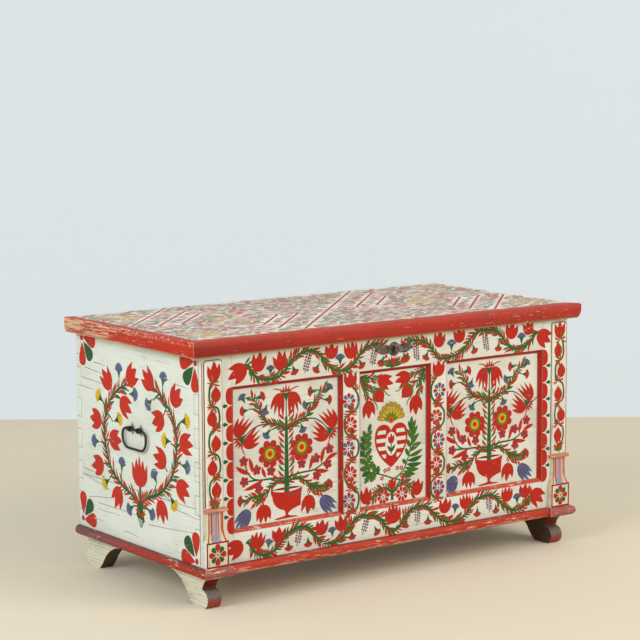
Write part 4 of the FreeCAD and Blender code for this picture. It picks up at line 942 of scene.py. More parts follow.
def bowl_of_flowers(name, x0):
    sheet = Sheet(x0, -3)
    sheet.stem([(0, 262), (0, 330), (0, 400), (0, 452)], 15, 0.45, leaves=False, lift=1)
    sheet.stem([(0, 430), (0, 500)], 4, 0.6, leaves=False)
    for i in range(12):
        for way in (-1, 1):
            reach = (19 if i % 3 else 15) + random.uniform(-2, 2)
            x, z = way * (6 - 0.25 * i), 290 + 14.4 * i + 4 * way
            paint = "green" if i % 4 == 2 else "red"
            sheet.leaf((x, z), (x + way * reach, z + 20), 6.4, paint, -0.17 * way, 0.5)
    split_tulip(sheet, 0, 482, 90)
    for points in (
        ((0, 418), (-28, 436), (-58, 443), (-74, 462), (-84, 488), (-104, 513)),
        ((0, 418), (30, 436), (58, 444), (78, 464), (96, 490), (122, 512)),
    ):
        sheet.stem(points, 6.0, 0.5)
    for points in (
        ((-52, 440), (-82, 438), (-108, 428), (-127, 412)),
        ((52, 440), (84, 438), (110, 424), (128, 404)),
        ((-92, 480), (-112, 482)), ((-80, 470), (-68, 478)), ((-98, 505), (-78, 512)),
        ((88, 478), (70, 478)), ((96, 492), (116, 482)), ((108, 506), (84, 510)),
        ((-20, 428), (-44, 424), (-52, 418)), ((16, 424), (36, 424), (42, 420)),
    ):
        sheet.stem(points, 4.0, 0.6, leaves=False)
    split_tulip(sheet, -117, 424, 222, 0.98)
    split_tulip(sheet, 117, 417, -42, 0.98)
    for x, z, turn, paint in (
        (-128, 508, 120, "blue"), (-77, 508, 20, "red"), (-124, 479, 185, "red"), (-62, 477, 250, "blue"),
        (129, 508, 55, "blue"), (80, 506, 175, "red"), (126, 481, -5, "red"), (64, 476, 200, "blue"),
        (-57, 416, 235, "blue"), (48, 419, 290, "blue"),
    ):
        sheet.pink(x, z, turn, 25, paint)
    sunflower(sheet, -50, 364, 35)
    sunflower(sheet, 46, 370, 35)
    for points in (
        ((0, 296), (-40, 301), (-88, 303), (-112, 318), (-124, 344)),
        ((0, 298), (40, 305), (84, 308), (116, 323), (146, 338)),
        ((-88, 303), (-120, 303)), ((84, 308), (100, 300)),
    ):
        sheet.stem(points, 5.4, 0.6, leaves=False)
    for x, z in ((-128, 354), (-90, 328), (-47, 321), (-127, 303), (-84, 281),
                 (132, 355), (90, 336), (46, 328), (126, 317), (92, 292)):
        floret(sheet, x, z, 13.5, random.uniform(0, 72))
    for x, z, tip_x, tip_z, wide, sway in (
        (-108, 320, -152, 344, 12, 0.1), (-103, 322, -113, 362, 11, -0.1), (-62, 305, -74, 334, 10, 0.1),
        (-68, 303, -130, 282, 12, 0.12), (-20, 300, -42, 306, 5, 0.1), (106, 320, 118, 364, 11, 0.1),
        (68, 308, 78, 346, 10, -0.12), (118, 326, 158, 342, 11, 0.1), (86, 308, 130, 300, 11, -0.12),
        (-14, 330, -26, 352, 5, 0.1), (-14, 350, -24, 380, 5, 0.1), (14, 330, 28, 352, 5, 0.1),
    ):
        sheet.leaf((x, z), (tip_x, tip_z), wide, "red", sway)
    for points in (
        ((0, 282), (-26, 294), (-48, 280), (-70, 262), (-98, 248)),
        ((0, 282), (28, 296), (58, 282), (80, 266), (104, 248)),
        ((-70, 262), (-108, 262), (-122, 256)), ((-74, 258), (-80, 244)),
        ((72, 270), (104, 262), (120, 262)), ((70, 272), (74, 254)),
    ):
        sheet.stem(points, 5.6, 0.6)
    sheet.pink(-132, 256, 175, 27, "red")
    sheet.pink(126, 263, 25, 27, "red")
    sheet.tulip(-70, 218, 268, 46, 42, 4)
    sheet.tulip(66, 224, 262, 44, 44, 3)
    blue_tulip(sheet, -130, 210, 232)
    blue_tulip(sheet, 124, 216, -44)
    bowl = shape((-48, 271), (-46, 262), (-44, 254), (-42, 224), (-7, 216), (-3, 206), (-5, 203),
                 (-12, 201), (-38, 198), (-37, 194), (-20, 195), (0, 196), (32, 196), (36, 199),
                 (12, 201), (5, 203), (3, 206), (7, 216), (42, 224), (43, 244), (44, 254), (46, 262),
                 (48, 271), (30, 262), (0, 262), (-30, 262))
    sheet.mark("red", bowl, lift=1)
    lip = shape((-46, 271), (0, 265), (46, 271), (0, 279))
    sheet.mark("deep", lip)
    lay(name, sheet, (0, panel_y, 0), front_axes, "x", (23.0, 6.2, 3.9, 0.6, 36))


bowl_of_flowers("painted_bowl_left", -334.5)
bowl_of_flowers("painted_bowl_right", 324.0)

# Middle panel: sprays with tulips in the upper corners, a heart-shaped shield of red and white
# bands under a golden blossom, two sprays of dark leaves beside it and a small bouquet below.
middle = Sheet(0, -3)
shield = -6
for points in (
    ((-104, 528), (-92, 506), (-79, 466)), ((-104, 528), (-80, 523), (-48, 514)),
    ((-100, 520), (-80, 500), (-62, 490)), ((105, 530), (94, 506), (84, 464)),
    ((105, 530), (84, 524), (56, 515)), ((102, 520), (84, 502), (66, 494)),
):
    middle.stem(points, 6.5, 0.35, "leaf")
for row in (
    (-27, 508, -14, 40, 46, 3), (34, 510, 194, 42, 46, 3), (-78, 442, 270, 42, 44, 3),
    (75, 440, 270, 44, 46, 3), (-88, 217, 88, 38, 40, 3), (80, 219, 80, 37, 41, 3),
    (-3, 239, 90, 26, 28, 3),
):
    middle.tulip(*row)
for x, z, turn in ((-43, 471, -52), (43, 474, 222)):
    middle.bud(x, z, turn, 38, 42)
    c, s = polar(0, 0, 1, turn)
    for side in (-1, 1):
        sepal = [(-22, 0), (-17, 13 * side), (-4, 20 * side), (12, 21 * side), (22, 27 * side)]
        sepal = [(x + c * p - s * q, z + s * p + c * q) for p, q in sepal]
        middle.stem(sepal, 6.0, 0.35, "green", leaves=False, lift=2)
for points in (
    ((22, 247), (0, 254), (-38, 268), (-66, 276), (-84, 290), (-91, 322), (-88, 360), (-76, 398)),
    ((-10, 248), (12, 256), (34, 272), (47, 296), (57, 326), (61, 362), (61, 396)),
):
    middle.stem(points, 4.5, 0.5, "green", leaves=False)
for x1, z1, x2, z2, wide in (
    (-50, 271, -48, 292, 14), (-60, 274, -62, 300, 16), (-56, 272, -74, 254, 16), (-70, 278, -92, 252, 17),
    (-76, 281, -100, 272, 15), (-84, 290, -106, 290, 16), (-80, 286, -64, 306, 15), (-88, 304, -108, 316, 16),
    (-88, 300, -68, 322, 16), (-91, 322, -110, 338, 16), (-90, 318, -70, 340, 15), (-91, 338, -107, 358, 15),
    (-90, 338, -70, 356, 14), (-89, 354, -103, 374, 14), (-88, 354, -70, 372, 14), (-86, 368, -96, 388, 13),
    (-84, 370, -68, 386, 12), (-79, 384, -72, 404, 12), (-62, 274, -82, 262, 15), (-76, 282, -90, 302, 14),
):
    middle.oak_leaf((x1, z1), (x2, z2), wide * 1.06, "leaf" if (x1 + z1) % 2 else "green", 1)
for x1, z1, x2, z2, wide, sway in (
    (30, 264, 60, 250, 9, -0.12), (34, 270, 74, 256, 10, -0.14), (38, 278, 86, 269, 10, -0.16),
    (43, 286, 95, 284, 10, -0.16), (46, 295, 97, 303, 10, -0.16), (50, 306, 98, 320, 9, -0.14),
    (54, 316, 94, 338, 12, 0.14), (57, 330, 86, 362, 11, 0.14), (60, 348, 82, 384, 10, 0.12),
    (61, 364, 76, 400, 9, 0.1), (61, 376, 62, 410, 10, 0.06), (61, 366, 49, 398, 9, -0.12),
    (60, 350, 44, 378, 9, -0.12), (56, 328, 42, 352, 9, -0.12), (50, 306, 40, 328, 9, -0.1),
    (42, 286, 30, 300, 9, -0.1),
):
    middle.leaf((x1, z1), (x2, z2), wide * 1.25, "leaf" if x2 % 2 else "green", sway, 1)
heart = shape((0, 379), (-9, 398), (-28, 397), (-54, 396), (-53, 358), (-50, 316), (0, 283),
              (50, 316), (53, 358), (54, 396), (28, 397), (9, 398), steps=8)
middle.mark("red", heart, (shield, 0), lift=1)
for low, high, half_low, half_high in (
    (372, 382, 46, 41), (351, 361, 47, 48), (330, 340, 39, 44), (309, 319, 23, 32),
):
    for way in (-1, 1):
        stripe = [(way * 17, low), (way * half_low, low), (way * half_high, high), (way * 17, high)]
        middle.mark("white", stripe, (shield, 0), lift=2)
oval = [(19 * math.cos(a / 12 * math.pi), 31 * math.sin(a / 12 * math.pi)) for a in range(24)]
middle.mark("white", oval, (shield, 345), lift=3)
middle.tulip(shield, 357, 90, 21, 24, 3, "red", 4)
middle.stem([(shield, 346), (shield, 318)], 3.2, 0.8, "leaf", leaves=False, lift=4)
for way in (-1, 1):
    middle.leaf((shield, 322), (shield + way * 13, 341), 8, "leaf", 0.12 * way, 4)
for i in range(9):
    a = math.radians(14 + 19 * i)
    ray = (math.cos(a), 1.09 * math.sin(a))
    along_ray = [(shield + reach * ray[0], 405 + reach * ray[1]) for reach in (4, 46, 8, 36)]
    middle.drop(*along_ray[:2], 14, "gold", 1)
    middle.leaf(*along_ray[2:], 5.5, "yellow", 0.0, 2)
for i in range(6):
    a = math.radians(24 + 26.4 * i)
    middle.leaf((shield, 403), (shield + 27 * math.cos(a), 403 + 28 * math.sin(a)), 9, "olive", 0.0, 3)
middle.dot(shield, 407, 9, "orange", 4, 16)
middle.dot(shield, 407, 4.5, "red", 5, 12)
for x, z in ((-26, 277), (-14, 279), (14, 279), (27, 278), (-36, 258), (28, 258)):
    for i in range(5):
        middle.dot(*polar(x, z, 4, 72 * i + 10 * x), 2.4, "red", 1, 8)
middle.stem([(-3, 197), (-3, 213), (-3, 229)], 9, 0.6, "leaf", leaves=False)
for points in (
    ((-3, 206), (-12, 226), (-32, 234), (-62, 228)), ((-3, 206), (8, 228), (30, 238), (62, 228)),
    ((-34, 234), (-58, 214), (-68, 202)), ((38, 234), (58, 214), (68, 204)),
    ((24, 236), (38, 244), (46, 242)),
):
    middle.stem(points, 4.0, 0.5)
for x in (-32, 29):
    middle.rosette(x, 209, 19.5, ("red",), "blue", 12)
    middle.ring(x, 209, 5.0, 3.4, "white", 2, 14)
lay("painted_shield_panel", middle, (0, panel_y, 0), front_axes, "x", (22.0, 6.0, 3.8, 0.5, 36))

# Left and right sides: a heart-shaped wreath of two leafy stems round the handle, with tulips,
# cornflowers and small yellow flowers by turns, and three teardrops in each corner.
wreath = Sheet()
front_edge = -312.65
for x, z, turn in (
    (263, 535, 42), (343, 536, 138), (136, 510, 132), (464, 511, 48), (217, 440, -18), (376, 455, 205),
    (94, 400, 178), (523, 401, 2), (210, 345, 12), (430, 360, 176), (112, 284, 200), (515, 281, -12),
    (208, 214, 256), (420, 214, -64),
):
    wreath.tulip(x, z, turn, 56, 56, 3)
wreath.tulip(310, 288, 90, 76, 62, 5)
for x, z, turn in (
    (193, 541, 98), (257, 480, -38), (404, 537, 88), (339, 490, 176), (99, 344, 184), (523, 343, -3),
    (236, 292, 62), (397, 296, 98), (263, 202, 205), (354, 196, -28),
):
    wreath.pink(x, z, turn, 34, "blue", "green", 1.15)
for x, z, turn in (
    (99, 455, 170), (179, 395, -4), (499, 459, 28), (416, 414, 160), (157, 247, 228), (474, 244, -32),
):
    wreath.pink(x, z, turn, 36, "yellow", deep=1.15)
    for i in range(7):
        speck = polar(x, z, 13 if i % 2 else 18, turn - 60 + 20 * i)
        wreath.dot(*speck, 1.7, "orange", 3, 8)
for points in (
    ((309, 214), (272, 236), (226, 252), (184, 281), (152, 318), (138, 360), (133, 400), (142, 440),
     (164, 471), (196, 497), (232, 517), (250, 521)),
    ((309, 214), (350, 231), (400, 249), (442, 275), (467, 307), (478, 346), (480, 390), (470, 430),
     (446, 465), (410, 492), (382, 505), (366, 516)),
):
    wreath.stem(points, 8.5, 0.7)
for points in (
    ((138, 430), (112, 452)), ((134, 384), (162, 392)), ((140, 348), (112, 347)), ((178, 318), (196, 332)),
    ((150, 300), (132, 300)), ((196, 270), (172, 256)), ((236, 254), (235, 276)), ((196, 497), (196, 524)),
    ((214, 506), (240, 488)), ((180, 476), (196, 452)), ((116, 398), (132, 392)), ((480, 392), (502, 400)),
    ((470, 430), (488, 452)), ((478, 344), (502, 344)), ((456, 292), (490, 290)), ((440, 272), (460, 256)),
    ((402, 252), (400, 280)), ((474, 420), (456, 420), (438, 406)), ((476, 352), (452, 358)),
    ((404, 494), (404, 520)), ((388, 500), (356, 496)), ((430, 480), (400, 470)), ((300, 206), (274, 206)),
    ((320, 206), (344, 204)),
):
    wreath.stem(points, 4.6, 0.8, leaves=False)
wreath.stem([(309, 262), (309, 214)], 9, 1.0, "leaf", leaves=False)
spike = shape((296, 214), (298, 190), (289, 172), (300, 166), (300, 156), (307, 150), (314, 156), (316, 166),
              (331, 186), (320, 196), (324, 214), (309, 218))
wreath.mark("leaf", spike, lift=0)
for i in range(4):
    stripe = [(299 + i, 172), (321 - 2 * i, 176), (320 - 2 * i, 174), (300 + i, 170)]
    wreath.mark("white", stripe, (0, -5 * i), lift=2)
for x1, z1, x2, z2 in (
    (306, 180, 288, 202), (306, 188, 284, 192), (312, 182, 330, 202), (312, 190, 334, 196),
    (298, 208, 272, 222), (320, 208, 348, 222), (300, 214, 280, 236), (318, 214, 340, 236),
    (306, 220, 298, 250), (313, 220, 322, 250),
):
    wreath.leaf((x1, z1), (x2, z2), 7, "red", 0.1, 1)
for cx, cz, wx, wz in ((46, 604, 1, -1), (590, 606, -1, -1), (50, 117, 1, 1), (600, 126, -1, 1)):
    wreath.dot(cx, cz, 7.5, "red", 1, 14)
    wreath.drop((cx + wx * 7, cz - wz * 3), (cx + wx * 70, cz + wz * 5), 38, "red")
    wreath.drop((cx + wx * 9, cz + wz * 9), (cx + wx * 50, cz + wz * 52), 36, "leaf")
    wreath.drop((cx + wx * 2, cz + wz * 11), (cx + wx * 3, cz + wz * 72), 35, "red")

# Splits that run with the grain through the paint of the side boards, and the seam behind them.
# They are thin strokes of brown; the boards under them are whole.
for y1, z1, y2, z2, wide in (
    (589, 263, 477, 255, 1.6), (590, 245, 454, 225, 1.3), (565, 190, 454, 206, 1.2),
    (520, 182, 333, 182, 1.4), (521, 165, 412, 166, 1.1), (209, 257, 121, 236, 1.5),
    (150, 231, 35, 222, 1.5), (272, 168, 50, 187, 1.3), (584, 137, 493, 136, 1.2),
    (389, 130, 319, 127, 1.2), (531, 549, 470, 547, 1.6), (577, 531, 479, 523, 1.6),
    (594, 504, 488, 497, 1.5), (600, 480, 530, 477, 1.3), (142, 541, 88, 539, 1.4),
):
    sway = []
    for t in (0, 0.3, 0.55, 0.8, 1):
        sway.append((y1 + (y2 - y1) * t, z1 + (z2 - z1) * t + random.uniform(-1.2, 1.2)))
    wreath.stem(sway, wide, 0.5, "brown", leaves=False, lift=2)
wreath.stem([(33, 112), (34.5, 300), (33.5, 470), (34, 618)], 1.1, 0.9, "brown", leaves=False)
for side, way in (("left", -1), ("right", 1)):
    corner, side_axes = (way * half_width, front_edge, 0), ((0, 1, 0), (0, 0, 1), (way, 0, 0))
    lay(f"painted_wreath_{side}", wreath, corner, side_axes, "y", (36.0, 6.6, 4.9, 0.62, 35))

# Pilasters: a raised strip, a small cap and a fluted console on a block at each front corner,
# cut from pine and glued on. The strips carry a winding stem with five buds under a tulip.
pilaster_x, strip_y, block_y = 558, -298.65, -306.65
console_bend, console_foot = 203, 169


def console_bands(tree, coords):
    """Stripes down the console's front that spread with it at its foot, with a blue drop there."""
    place = xyz(tree, coords)
    x, z = (times(tree, place[n], 1000.0) for n in (0, 2))
    middle = times(tree, calc(tree, "SIGN", x), float(pilaster_x))
    spread = fade(tree, z, console_foot, console_bend, 1.0, 0.0)
    spread = times(tree, times(tree, spread, spread), 8.0)
    u = calc(tree, "DIVIDE", minus(tree, x, middle), plus(tree, spread, 24.0))
    ragged = times(tree, grain(tree, coords, "z", 160.0, 0.0, 0.15, 3.0), 0.1)
    u = plus(tree, times(tree, plus(tree, u, ragged), 0.5), 0.475)
    stripes = []
    for bands in (
        ((0.0, "#e3c9a4"), (0.04, "#b0563a"), (0.13, "#e2d3b4"), (0.22, "#7c3829"), (0.3, "#c98a90"),
         (0.42, "#a79cae"), (0.54, "#c77f86"), (0.64, "#5f4b34"), (0.71, "#d8c9a9"), (0.83, "#bd4a2f"),
         (0.94, "#e3c9a4")),
        ((0.0, "#e3c9a4"), (0.05, "#b0563a"), (0.12, "#e2d3b4"), (0.26, "#a8705c"), (0.36, "#8299b8"),
         (0.6, "#c2616a"), (0.68, "#d8c9a9"), (0.85, "#bd4a2f"), (0.93, "#e3c9a4")),
    ):
        ramp = node(tree, "ShaderNodeValToRGB", {0: u})
        ramp.color_ramp.interpolation = "CONSTANT"
        for place, code in bands[1:]:
            ramp.color_ramp.elements.new(place).color = linear(code)
        ramp.color_ramp.elements[0].color = linear(bands[0][1])
        ramp.color_ramp.elements.remove(ramp.color_ramp.elements[-1])
        stripes.append(ramp.outputs[0])
    return blended(tree, fade(tree, z, console_foot + 12, console_foot + 22), stripes[1], stripes[0])


console_cream = brushed_paint("worn_cream_oil_paint", "#ddd3b8", "#a0763f", "z", 0.5, 0.5)
flute_bands = brushed_paint("striped_oil_paint_in_flutes", console_bands, "#cbb891", "z", 0.6, 0.4)
cap_red = brushed_paint("rubbed_salmon_oil_paint_cap", "#cf7f63", "#e2c9a6", "x", 0.9, 0.5)
# The strip's arrises get a brighter cream than its faces: a painted highlight along its edges, chipped by
# wear.
strip_edge_highlight = brushed_paint("cream_paint_with_painted_highlight_on_arris", "#efe6cf", "#b08a5c", "z", 0.5, 0.3)
cap_edge = brushed_paint("rubbed_through_cap_edge", "#cf8f6c", "#8d6a42", "x", 0.9, 0.8)


def console_face_of(centre, normal):
    if abs(normal.x) > 0.7 and abs(abs(centre.x) - pilaster_x) > 20:
        return 2 if abs(centre.x) > 588 else 0
    return 1 if centre.z > console_foot and normal.y < 0.5 else 0


for side in ("left", "right"):
    paints = [console_cream, flute_bands, side_white_daylit]
    dressed(f"console_{side}_carved", "case", "white_painted_wood", paints, console_face_of, 0.5, 0,
            f"pilaster_console_{side}")
    dressed(f"cap_{side}_rubbed", "case", "red_painted_wood", [cap_red, cap_edge], lambda c, n: 0, 0.8, 1,
            f"pilaster_cap_{side}")
    paints = [stile_white, side_white_daylit, strip_edge_highlight]
    dressed(f"strip_{side}_painted", "case", "white_painted_wood", paints,
            lambda c, n: 1 if abs(c.x) > 581 and abs(n.x) > 0.9 else 0, 1.4, 2, f"pilaster_strip_{side}")

strips = Sheet()
for way, rise in ((-1, 0), (1, 8)):
    def along(x, z):
        return (way * (pilaster_x + x), z + rise)

    strips.tulip(*along(0, 582), 90, 40, 44, 3)
    for x, z in ((-5, 530), (7, 473), (-4, 411), (7, 352), (-4, 297)):
        strips.bud(*along(x, z), 90 + random.uniform(-5, 5), 30, 41)
    strips.stem([along(x, z) for x, z in (
        (-2, 566), (10, 552), (14, 530), (12, 510), (2, 500), (-10, 494), (-15, 474), (-12, 453), (0, 444),
        (12, 434), (16, 410), (10, 390), (-2, 383), (-12, 374), (-16, 350), (-10, 332), (2, 324), (13, 315),
        (16, 296), (12, 276), (4, 262), (0, 252))], 5.6, 0.9, leaves=False)
    for x, z, turn in (
        (4, 556, 60), (3, 500, 130), (-2, 444, 50), (3, 384, 130), (-2, 324, 50), (2, 264, 120),
    ):
        strips.tuft(*along(x, z), turn, 19, 7, 150)
        strips.tuft(*along(x - 4, z - 2), turn + 110, 17, 5, 110)
    for dx, dz in ((-18, 14), (-15, 4), (18, 15), (15, 4), (-8, 18), (8, 19), (0, 16)):
        strips.leaf(along(0, 255), along(dx, 258 + dz), 5.5, "red", 0.1, 1)
    for dx, dz in ((-12, 2), (12, 2), (-10, 12), (10, 12)):
        strips.leaf(along(0, 252), along(dx, 254 + dz), 6, "green", 0.1, 1)
lay("painted_strips", strips, (0, strip_y, 0), front_axes, "z")

blocks = Sheet()
block_z = 137.5
for x0 in (-pilaster_x, pilaster_x):
    for near, far in (
        ((-32, 106), (32, 110)), ((-32, 165), (32, 169)), ((-32, 110), (-28, 165)), ((28, 110), (32, 165)),
    ):
        bar = [near, (far[0], near[1]), far, (near[0], far[1])]
        blocks.mark("deep", [(x0 + x, z) for x, z in bar], lift=0)
    for i in range(8):
        a = math.radians(45 * i)
        reach = 25 if i % 2 else 27
        start = (x0 + 5 * math.cos(a), block_z + 5 * math.sin(a))
        end = (x0 + 0.92 * reach * math.cos(a), block_z + reach * math.sin(a))
        blocks.drop(start, end, 12.5 if i % 2 else 15, "leaf" if i % 2 else "red", 1)
    blocks.dot(x0, block_z, 3, "red", 2, 10)
lay("painted_block_rosettes", blocks, (0, block_y, 0), front_axes, "z")

# Mouldings: red-painted pine round the foot of the case and round the lid, mitred and nailed.
# Hands and brooms have rubbed the red down to cream undercoat, and to wood on the arrises.


def lid_front_paint(tree, coords):
    """Deep red, darker at the left end and lighter along the top, with bare wood at the lower arris."""
    place = xyz(tree, coords)
    ragged = grain(tree, coords, "x", 90.0, 1.0, 0.12, 4.0, 0.6)
    height = plus(tree, place[2], times(tree, minus(tree, ragged, 0.5), 0.014))
    tone = blended(tree, fade(tree, place[0], -0.6, -0.2), linear("#94281e"), linear("#b23225"))
    tone = blended(tree, fade(tree, height, 0.645, 0.652, 0.0, 0.4), tone, linear("#c6523f"))
    return blended(tree, fade(tree, place[2], 0.6225, 0.6245, 1.0, 0.0), tone, linear("#a3854f"))


def lid_side_paint(tree, coords):
    """Bright red, rubbed to long cream streaks at the rear and in specks along the top arris."""
    place = xyz(tree, coords)
    streaks = grain(tree, coords, "y", 260.0, 4.0, 0.05, 5.0, 0.65)
    specks = grain(tree, coords, "y", 330.0, 2.0, 0.3, 4.0, 0.6)
    rear = fade(tree, place[1], -0.2, 0.25, 0.0, 0.19)
    rubbed = fade(tree, plus(tree, streaks, rear), 0.64, 0.7)
    top = times(tree, fade(tree, specks, 0.53, 0.59), fade(tree, place[2], 0.646, 0.652))
    tone = blended(tree, times(tree, rubbed, 0.8), linear("#bd2a17"), linear("#dfc39b"))
    tone = blended(tree, times(tree, top, 0.6), tone, linear("#e6cfa4"))
    return blended(tree, fade(tree, place[2], 0.6225, 0.6245, 0.8, 0.0), tone, linear("#c3a473"))


front_red = brushed_paint("worn_red_oil_paint_along_x", lid_front_paint, "#d9b48c", "x", 0.4, 0.5)
side_red = brushed_paint("worn_red_oil_paint_along_y", lid_side_paint, "#e3cfb0", "y", 0.5, 0.3)


def base_front_paint(tree, coords):
    """Orange red on the upper round, chipped to pink undercoat below, with a dark seam above."""
    height = xyz(tree, coords)[2]
    chips = grain(tree, coords, "x", 170.0, 6.0, 0.14, 5.0, 0.65)
    low = fade(tree, height, 0.082, 0.098, 0.16, 0.0)
    bare = fade(tree, plus(tree, chips, low), 0.6, 0.66, 0.0, 0.75)
    tone = blended(tree, bare, linear("#b93722"), linear("#dfb090"))
    return blended(tree, fade(tree, height, 0.1035, 0.1055, 0.0, 0.8), tone, linear("#4e3226"))


def base_side_paint(tree, coords):
    """Dull red that goes grey violet towards the rear, where the moulding is scuffed most."""
    place = xyz(tree, coords)
    cloud = times(tree, grain(tree, coords, "y", 60.0, 3.0, 0.2, 4.0, 0.6), 0.3)
    rear = fade(tree, plus(tree, place[1], cloud), 0.1, 0.42, 0.0, 0.75)
    top = fade(tree, place[2], 0.097, 0.104, 0.0, 0.6)
    tone = blended(tree, rear, linear("#a93322"), linear("#6d5358"))
    return blended(tree, top, tone, linear("#5a4440"))


foot_front_red = brushed_paint("worn_red_moulding_along_x", base_front_paint, "#e0b998", "x", 0.6, 0.5)
foot_side_red = brushed_paint("worn_red_moulding_along_y", base_side_paint, "#d6b48f", "y", 0.7, 0.6)
corner_red = brushed_paint("scuffed_red_moulding_corner", "#a4574c", "#dcc3a8", "x", 1.1, 0.7)
red_arris = brushed_paint("rubbed_through_red_edge", "#bd8a62", "#dcbf95", "x", 1.0, 0.6)
lid_cream = brushed_paint("aged_cream_oil_paint_lid", "#ebe5d8", "#b39a7c", "x", 0.5, 0.4)


def moulding_face_of(centre, normal):
    if normal.z > 0.9 and centre.z > 650 and centre.x > 590:
        return 3
    return 1 if abs(normal.x) > 0.5 else 0


for part, paint in (
    ("base_moulding_front", foot_front_red), ("base_moulding_corner_left", corner_red),
    ("base_moulding_corner_right", corner_red),
):
    dressed(part + "_worn", "case", "red_painted_wood", [paint, foot_side_red, red_arris],
            moulding_face_of, 1.0, 2, part)
for side in ("left", "right"):
    dressed(f"base_moulding_side_{side}_worn", "case", "red_painted_wood",
            [foot_side_red, foot_side_red, red_arris], moulding_face_of, 0.8, 2, f"base_moulding_side_{side}")
    dressed(f"lid_moulding_{side}_worn", "lid", "red_painted_wood",
            [side_red, side_red, red_arris, lid_cream], moulding_face_of, 1.1, 2, f"lid_moulding_{side}")
dressed("lid_moulding_front_worn", "lid", "red_painted_wood", [front_red, side_red, red_arris],
        moulding_face_of, 1.1, 2, "lid_moulding_front")

# Feet: bracket feet sawn from thick pine, with a cyma behind and a scroll in front. The outer
# cheeks are cream, the sawn edges under the front red-brown, and the inner cheeks are bare.
def weathered_cheek(tree, coords):
    """Cream paint sunk between the growth rings of the sawn cheek: fine dark lines along it."""
    warp = grain(tree, coords, "y", 60.0, 2.0, 0.1, 3.0, 0.5)
    height = xyz(tree, coords)[2]
    level = plus(tree, times(tree, height, 700.0), times(tree, warp, 9.0))
    worn = fade(tree, noise(tree, coords, 25.0, 3.0, 0.6), 0.35, 0.6, 0.1, 0.75)
    line = times(tree, fade(tree, calc(tree, "SINE", level), 0.82, 1.0), worn)
    return blended(tree, line, linear("#ddd9c2"), linear("#6f6248"))


def scroll_paint(tree, coords):
    """The sawn scroll: dark red in its hollow, grey where the ball is rubbed, red again below."""
    height = xyz(tree, coords)[2]
    blur = times(tree, noise(tree, coords, 40.0, 4.0, 0.6), 0.016)
    level = plus(tree, height, blur)
    upper = blended(tree, fade(tree, level, 0.050, 0.060), linear("#75695f"), linear("#701a10"))
    return blended(tree, fade(tree, level, 0.026, 0.036), linear("#99432f"), upper)


cheek_cream = brushed_paint("cracked_cream_oil_paint", weathered_cheek, "#97835f", "y", 0.5, 0.4, cracks=0.8)
scroll_red = brushed_paint("dark_red_oil_paint_scroll", scroll_paint, "#5a452c", "z", 0.8, 0.8)
bare_foot = bare_wood("dark_bare_pine", "#5f452c", "y", 0.9)


def front_foot_face_of(centre, normal):
    if abs(normal.x) > 0.9:
        return 0 if centre.x * normal.x > 0 else 2
    return 1 if normal.y < -0.1 else 2


def rear_foot_face_of(centre, normal):
    return 0 if abs(normal.x) > 0.9 and centre.x * normal.x > 0 else 2


for side in ("left", "right"):
    paints = [cheek_cream, scroll_red, bare_foot]
    dressed(f"foot_front_{side}_sawn", "case", "white_painted_wood", paints, front_foot_face_of, 1.0, 2,
            f"foot_front_{side}")
    dressed(f"foot_rear_{side}_sawn", "case", "white_painted_wood", paints, rear_foot_face_of, 1.0, 2,
            f"foot_rear_{side}")

# Lid: three wide boards edged with the red moulding. The painter covered the cream top with
# dense small dabs of rose and grey green, and drew two nests of lozenges over them.
for n in (1, 2, 3):
    part = f"lid_board_{n}"
    dressed(part + "_painted", "lid", "patterned_wood", [lid_cream, pine_along_x],
            lambda c, n: 0 if n.z > 0.9 else 1, 0.4, 1, part)

lid_paints = {}
for key, code in (
    ("rose", "#c0746a"), ("pale_rose", "#d6aba0"), ("sage", "#9c9c86"), ("slate", "#9a958a"),
    ("ochre", "#cfa870"),
):
    lid_paints[key] = brushed_paint(f"{key}_oil_dabs", code, "#e6dfd0", "x", 0.8, 0.3)


lozenges = [(cx, half) for cx in (-310, 310) for half in (310, 215, 147)]
lozenge_y = -0.5
line_reach, line_near, line_far = 596, -270, 305


def lozenge_clear(x, y):
    """How far a point is from the nearest drawn lozenge line."""
    return min(abs(abs(x - cx) + abs(y - lozenge_y) - half) for cx, half in lozenges) / math.sqrt(2)


def dab_tree():
    """Geometry nodes: one flat brush dab on each point, turned and sized at random."""
    tree, given = node_group("lid_dabs", ("Dab Length", "Dab Width", "Skin"), ("Paint",))
    spots = node(tree, "GeometryNodeMeshToPoints", {"Mesh": given["Geometry"]}).outputs[0]
    lens = {"X": given["Dab Length"], "Y": given["Dab Width"], "Z": 1.0}
    size = node(tree, "ShaderNodeCombineXYZ", lens).outputs[0]
    oval = node(tree, "GeometryNodeTransform", {"Geometry": disc(tree, 8, 0.5), "Scale": size}).outputs[0]
    turn = drawn_number(tree, -0.85, 0.85, given["Seed"])
    angle = node(tree, "ShaderNodeCombineXYZ", {"Z": turn}).outputs[0]
    pose = node(tree, "FunctionNodeEulerToRotation", {"Euler": angle}).outputs[0]
    scale = drawn_number(tree, 0.6, 1.3, given["Seed"])
    index = node(tree, "GeometryNodeInputIndex").outputs[0]
    depth = plus(tree, times(tree, calc(tree, "FRACT", times(tree, index, 0.618)), 0.45), 0.55)
    where = {"Points": spots, "Instance": thickened(tree, oval, given["Skin"]), "Rotation": pose}
    node(tree, "NodeGroupOutput", {0: set_out(tree, where, scale, depth, given["Paint"])})
    return tree


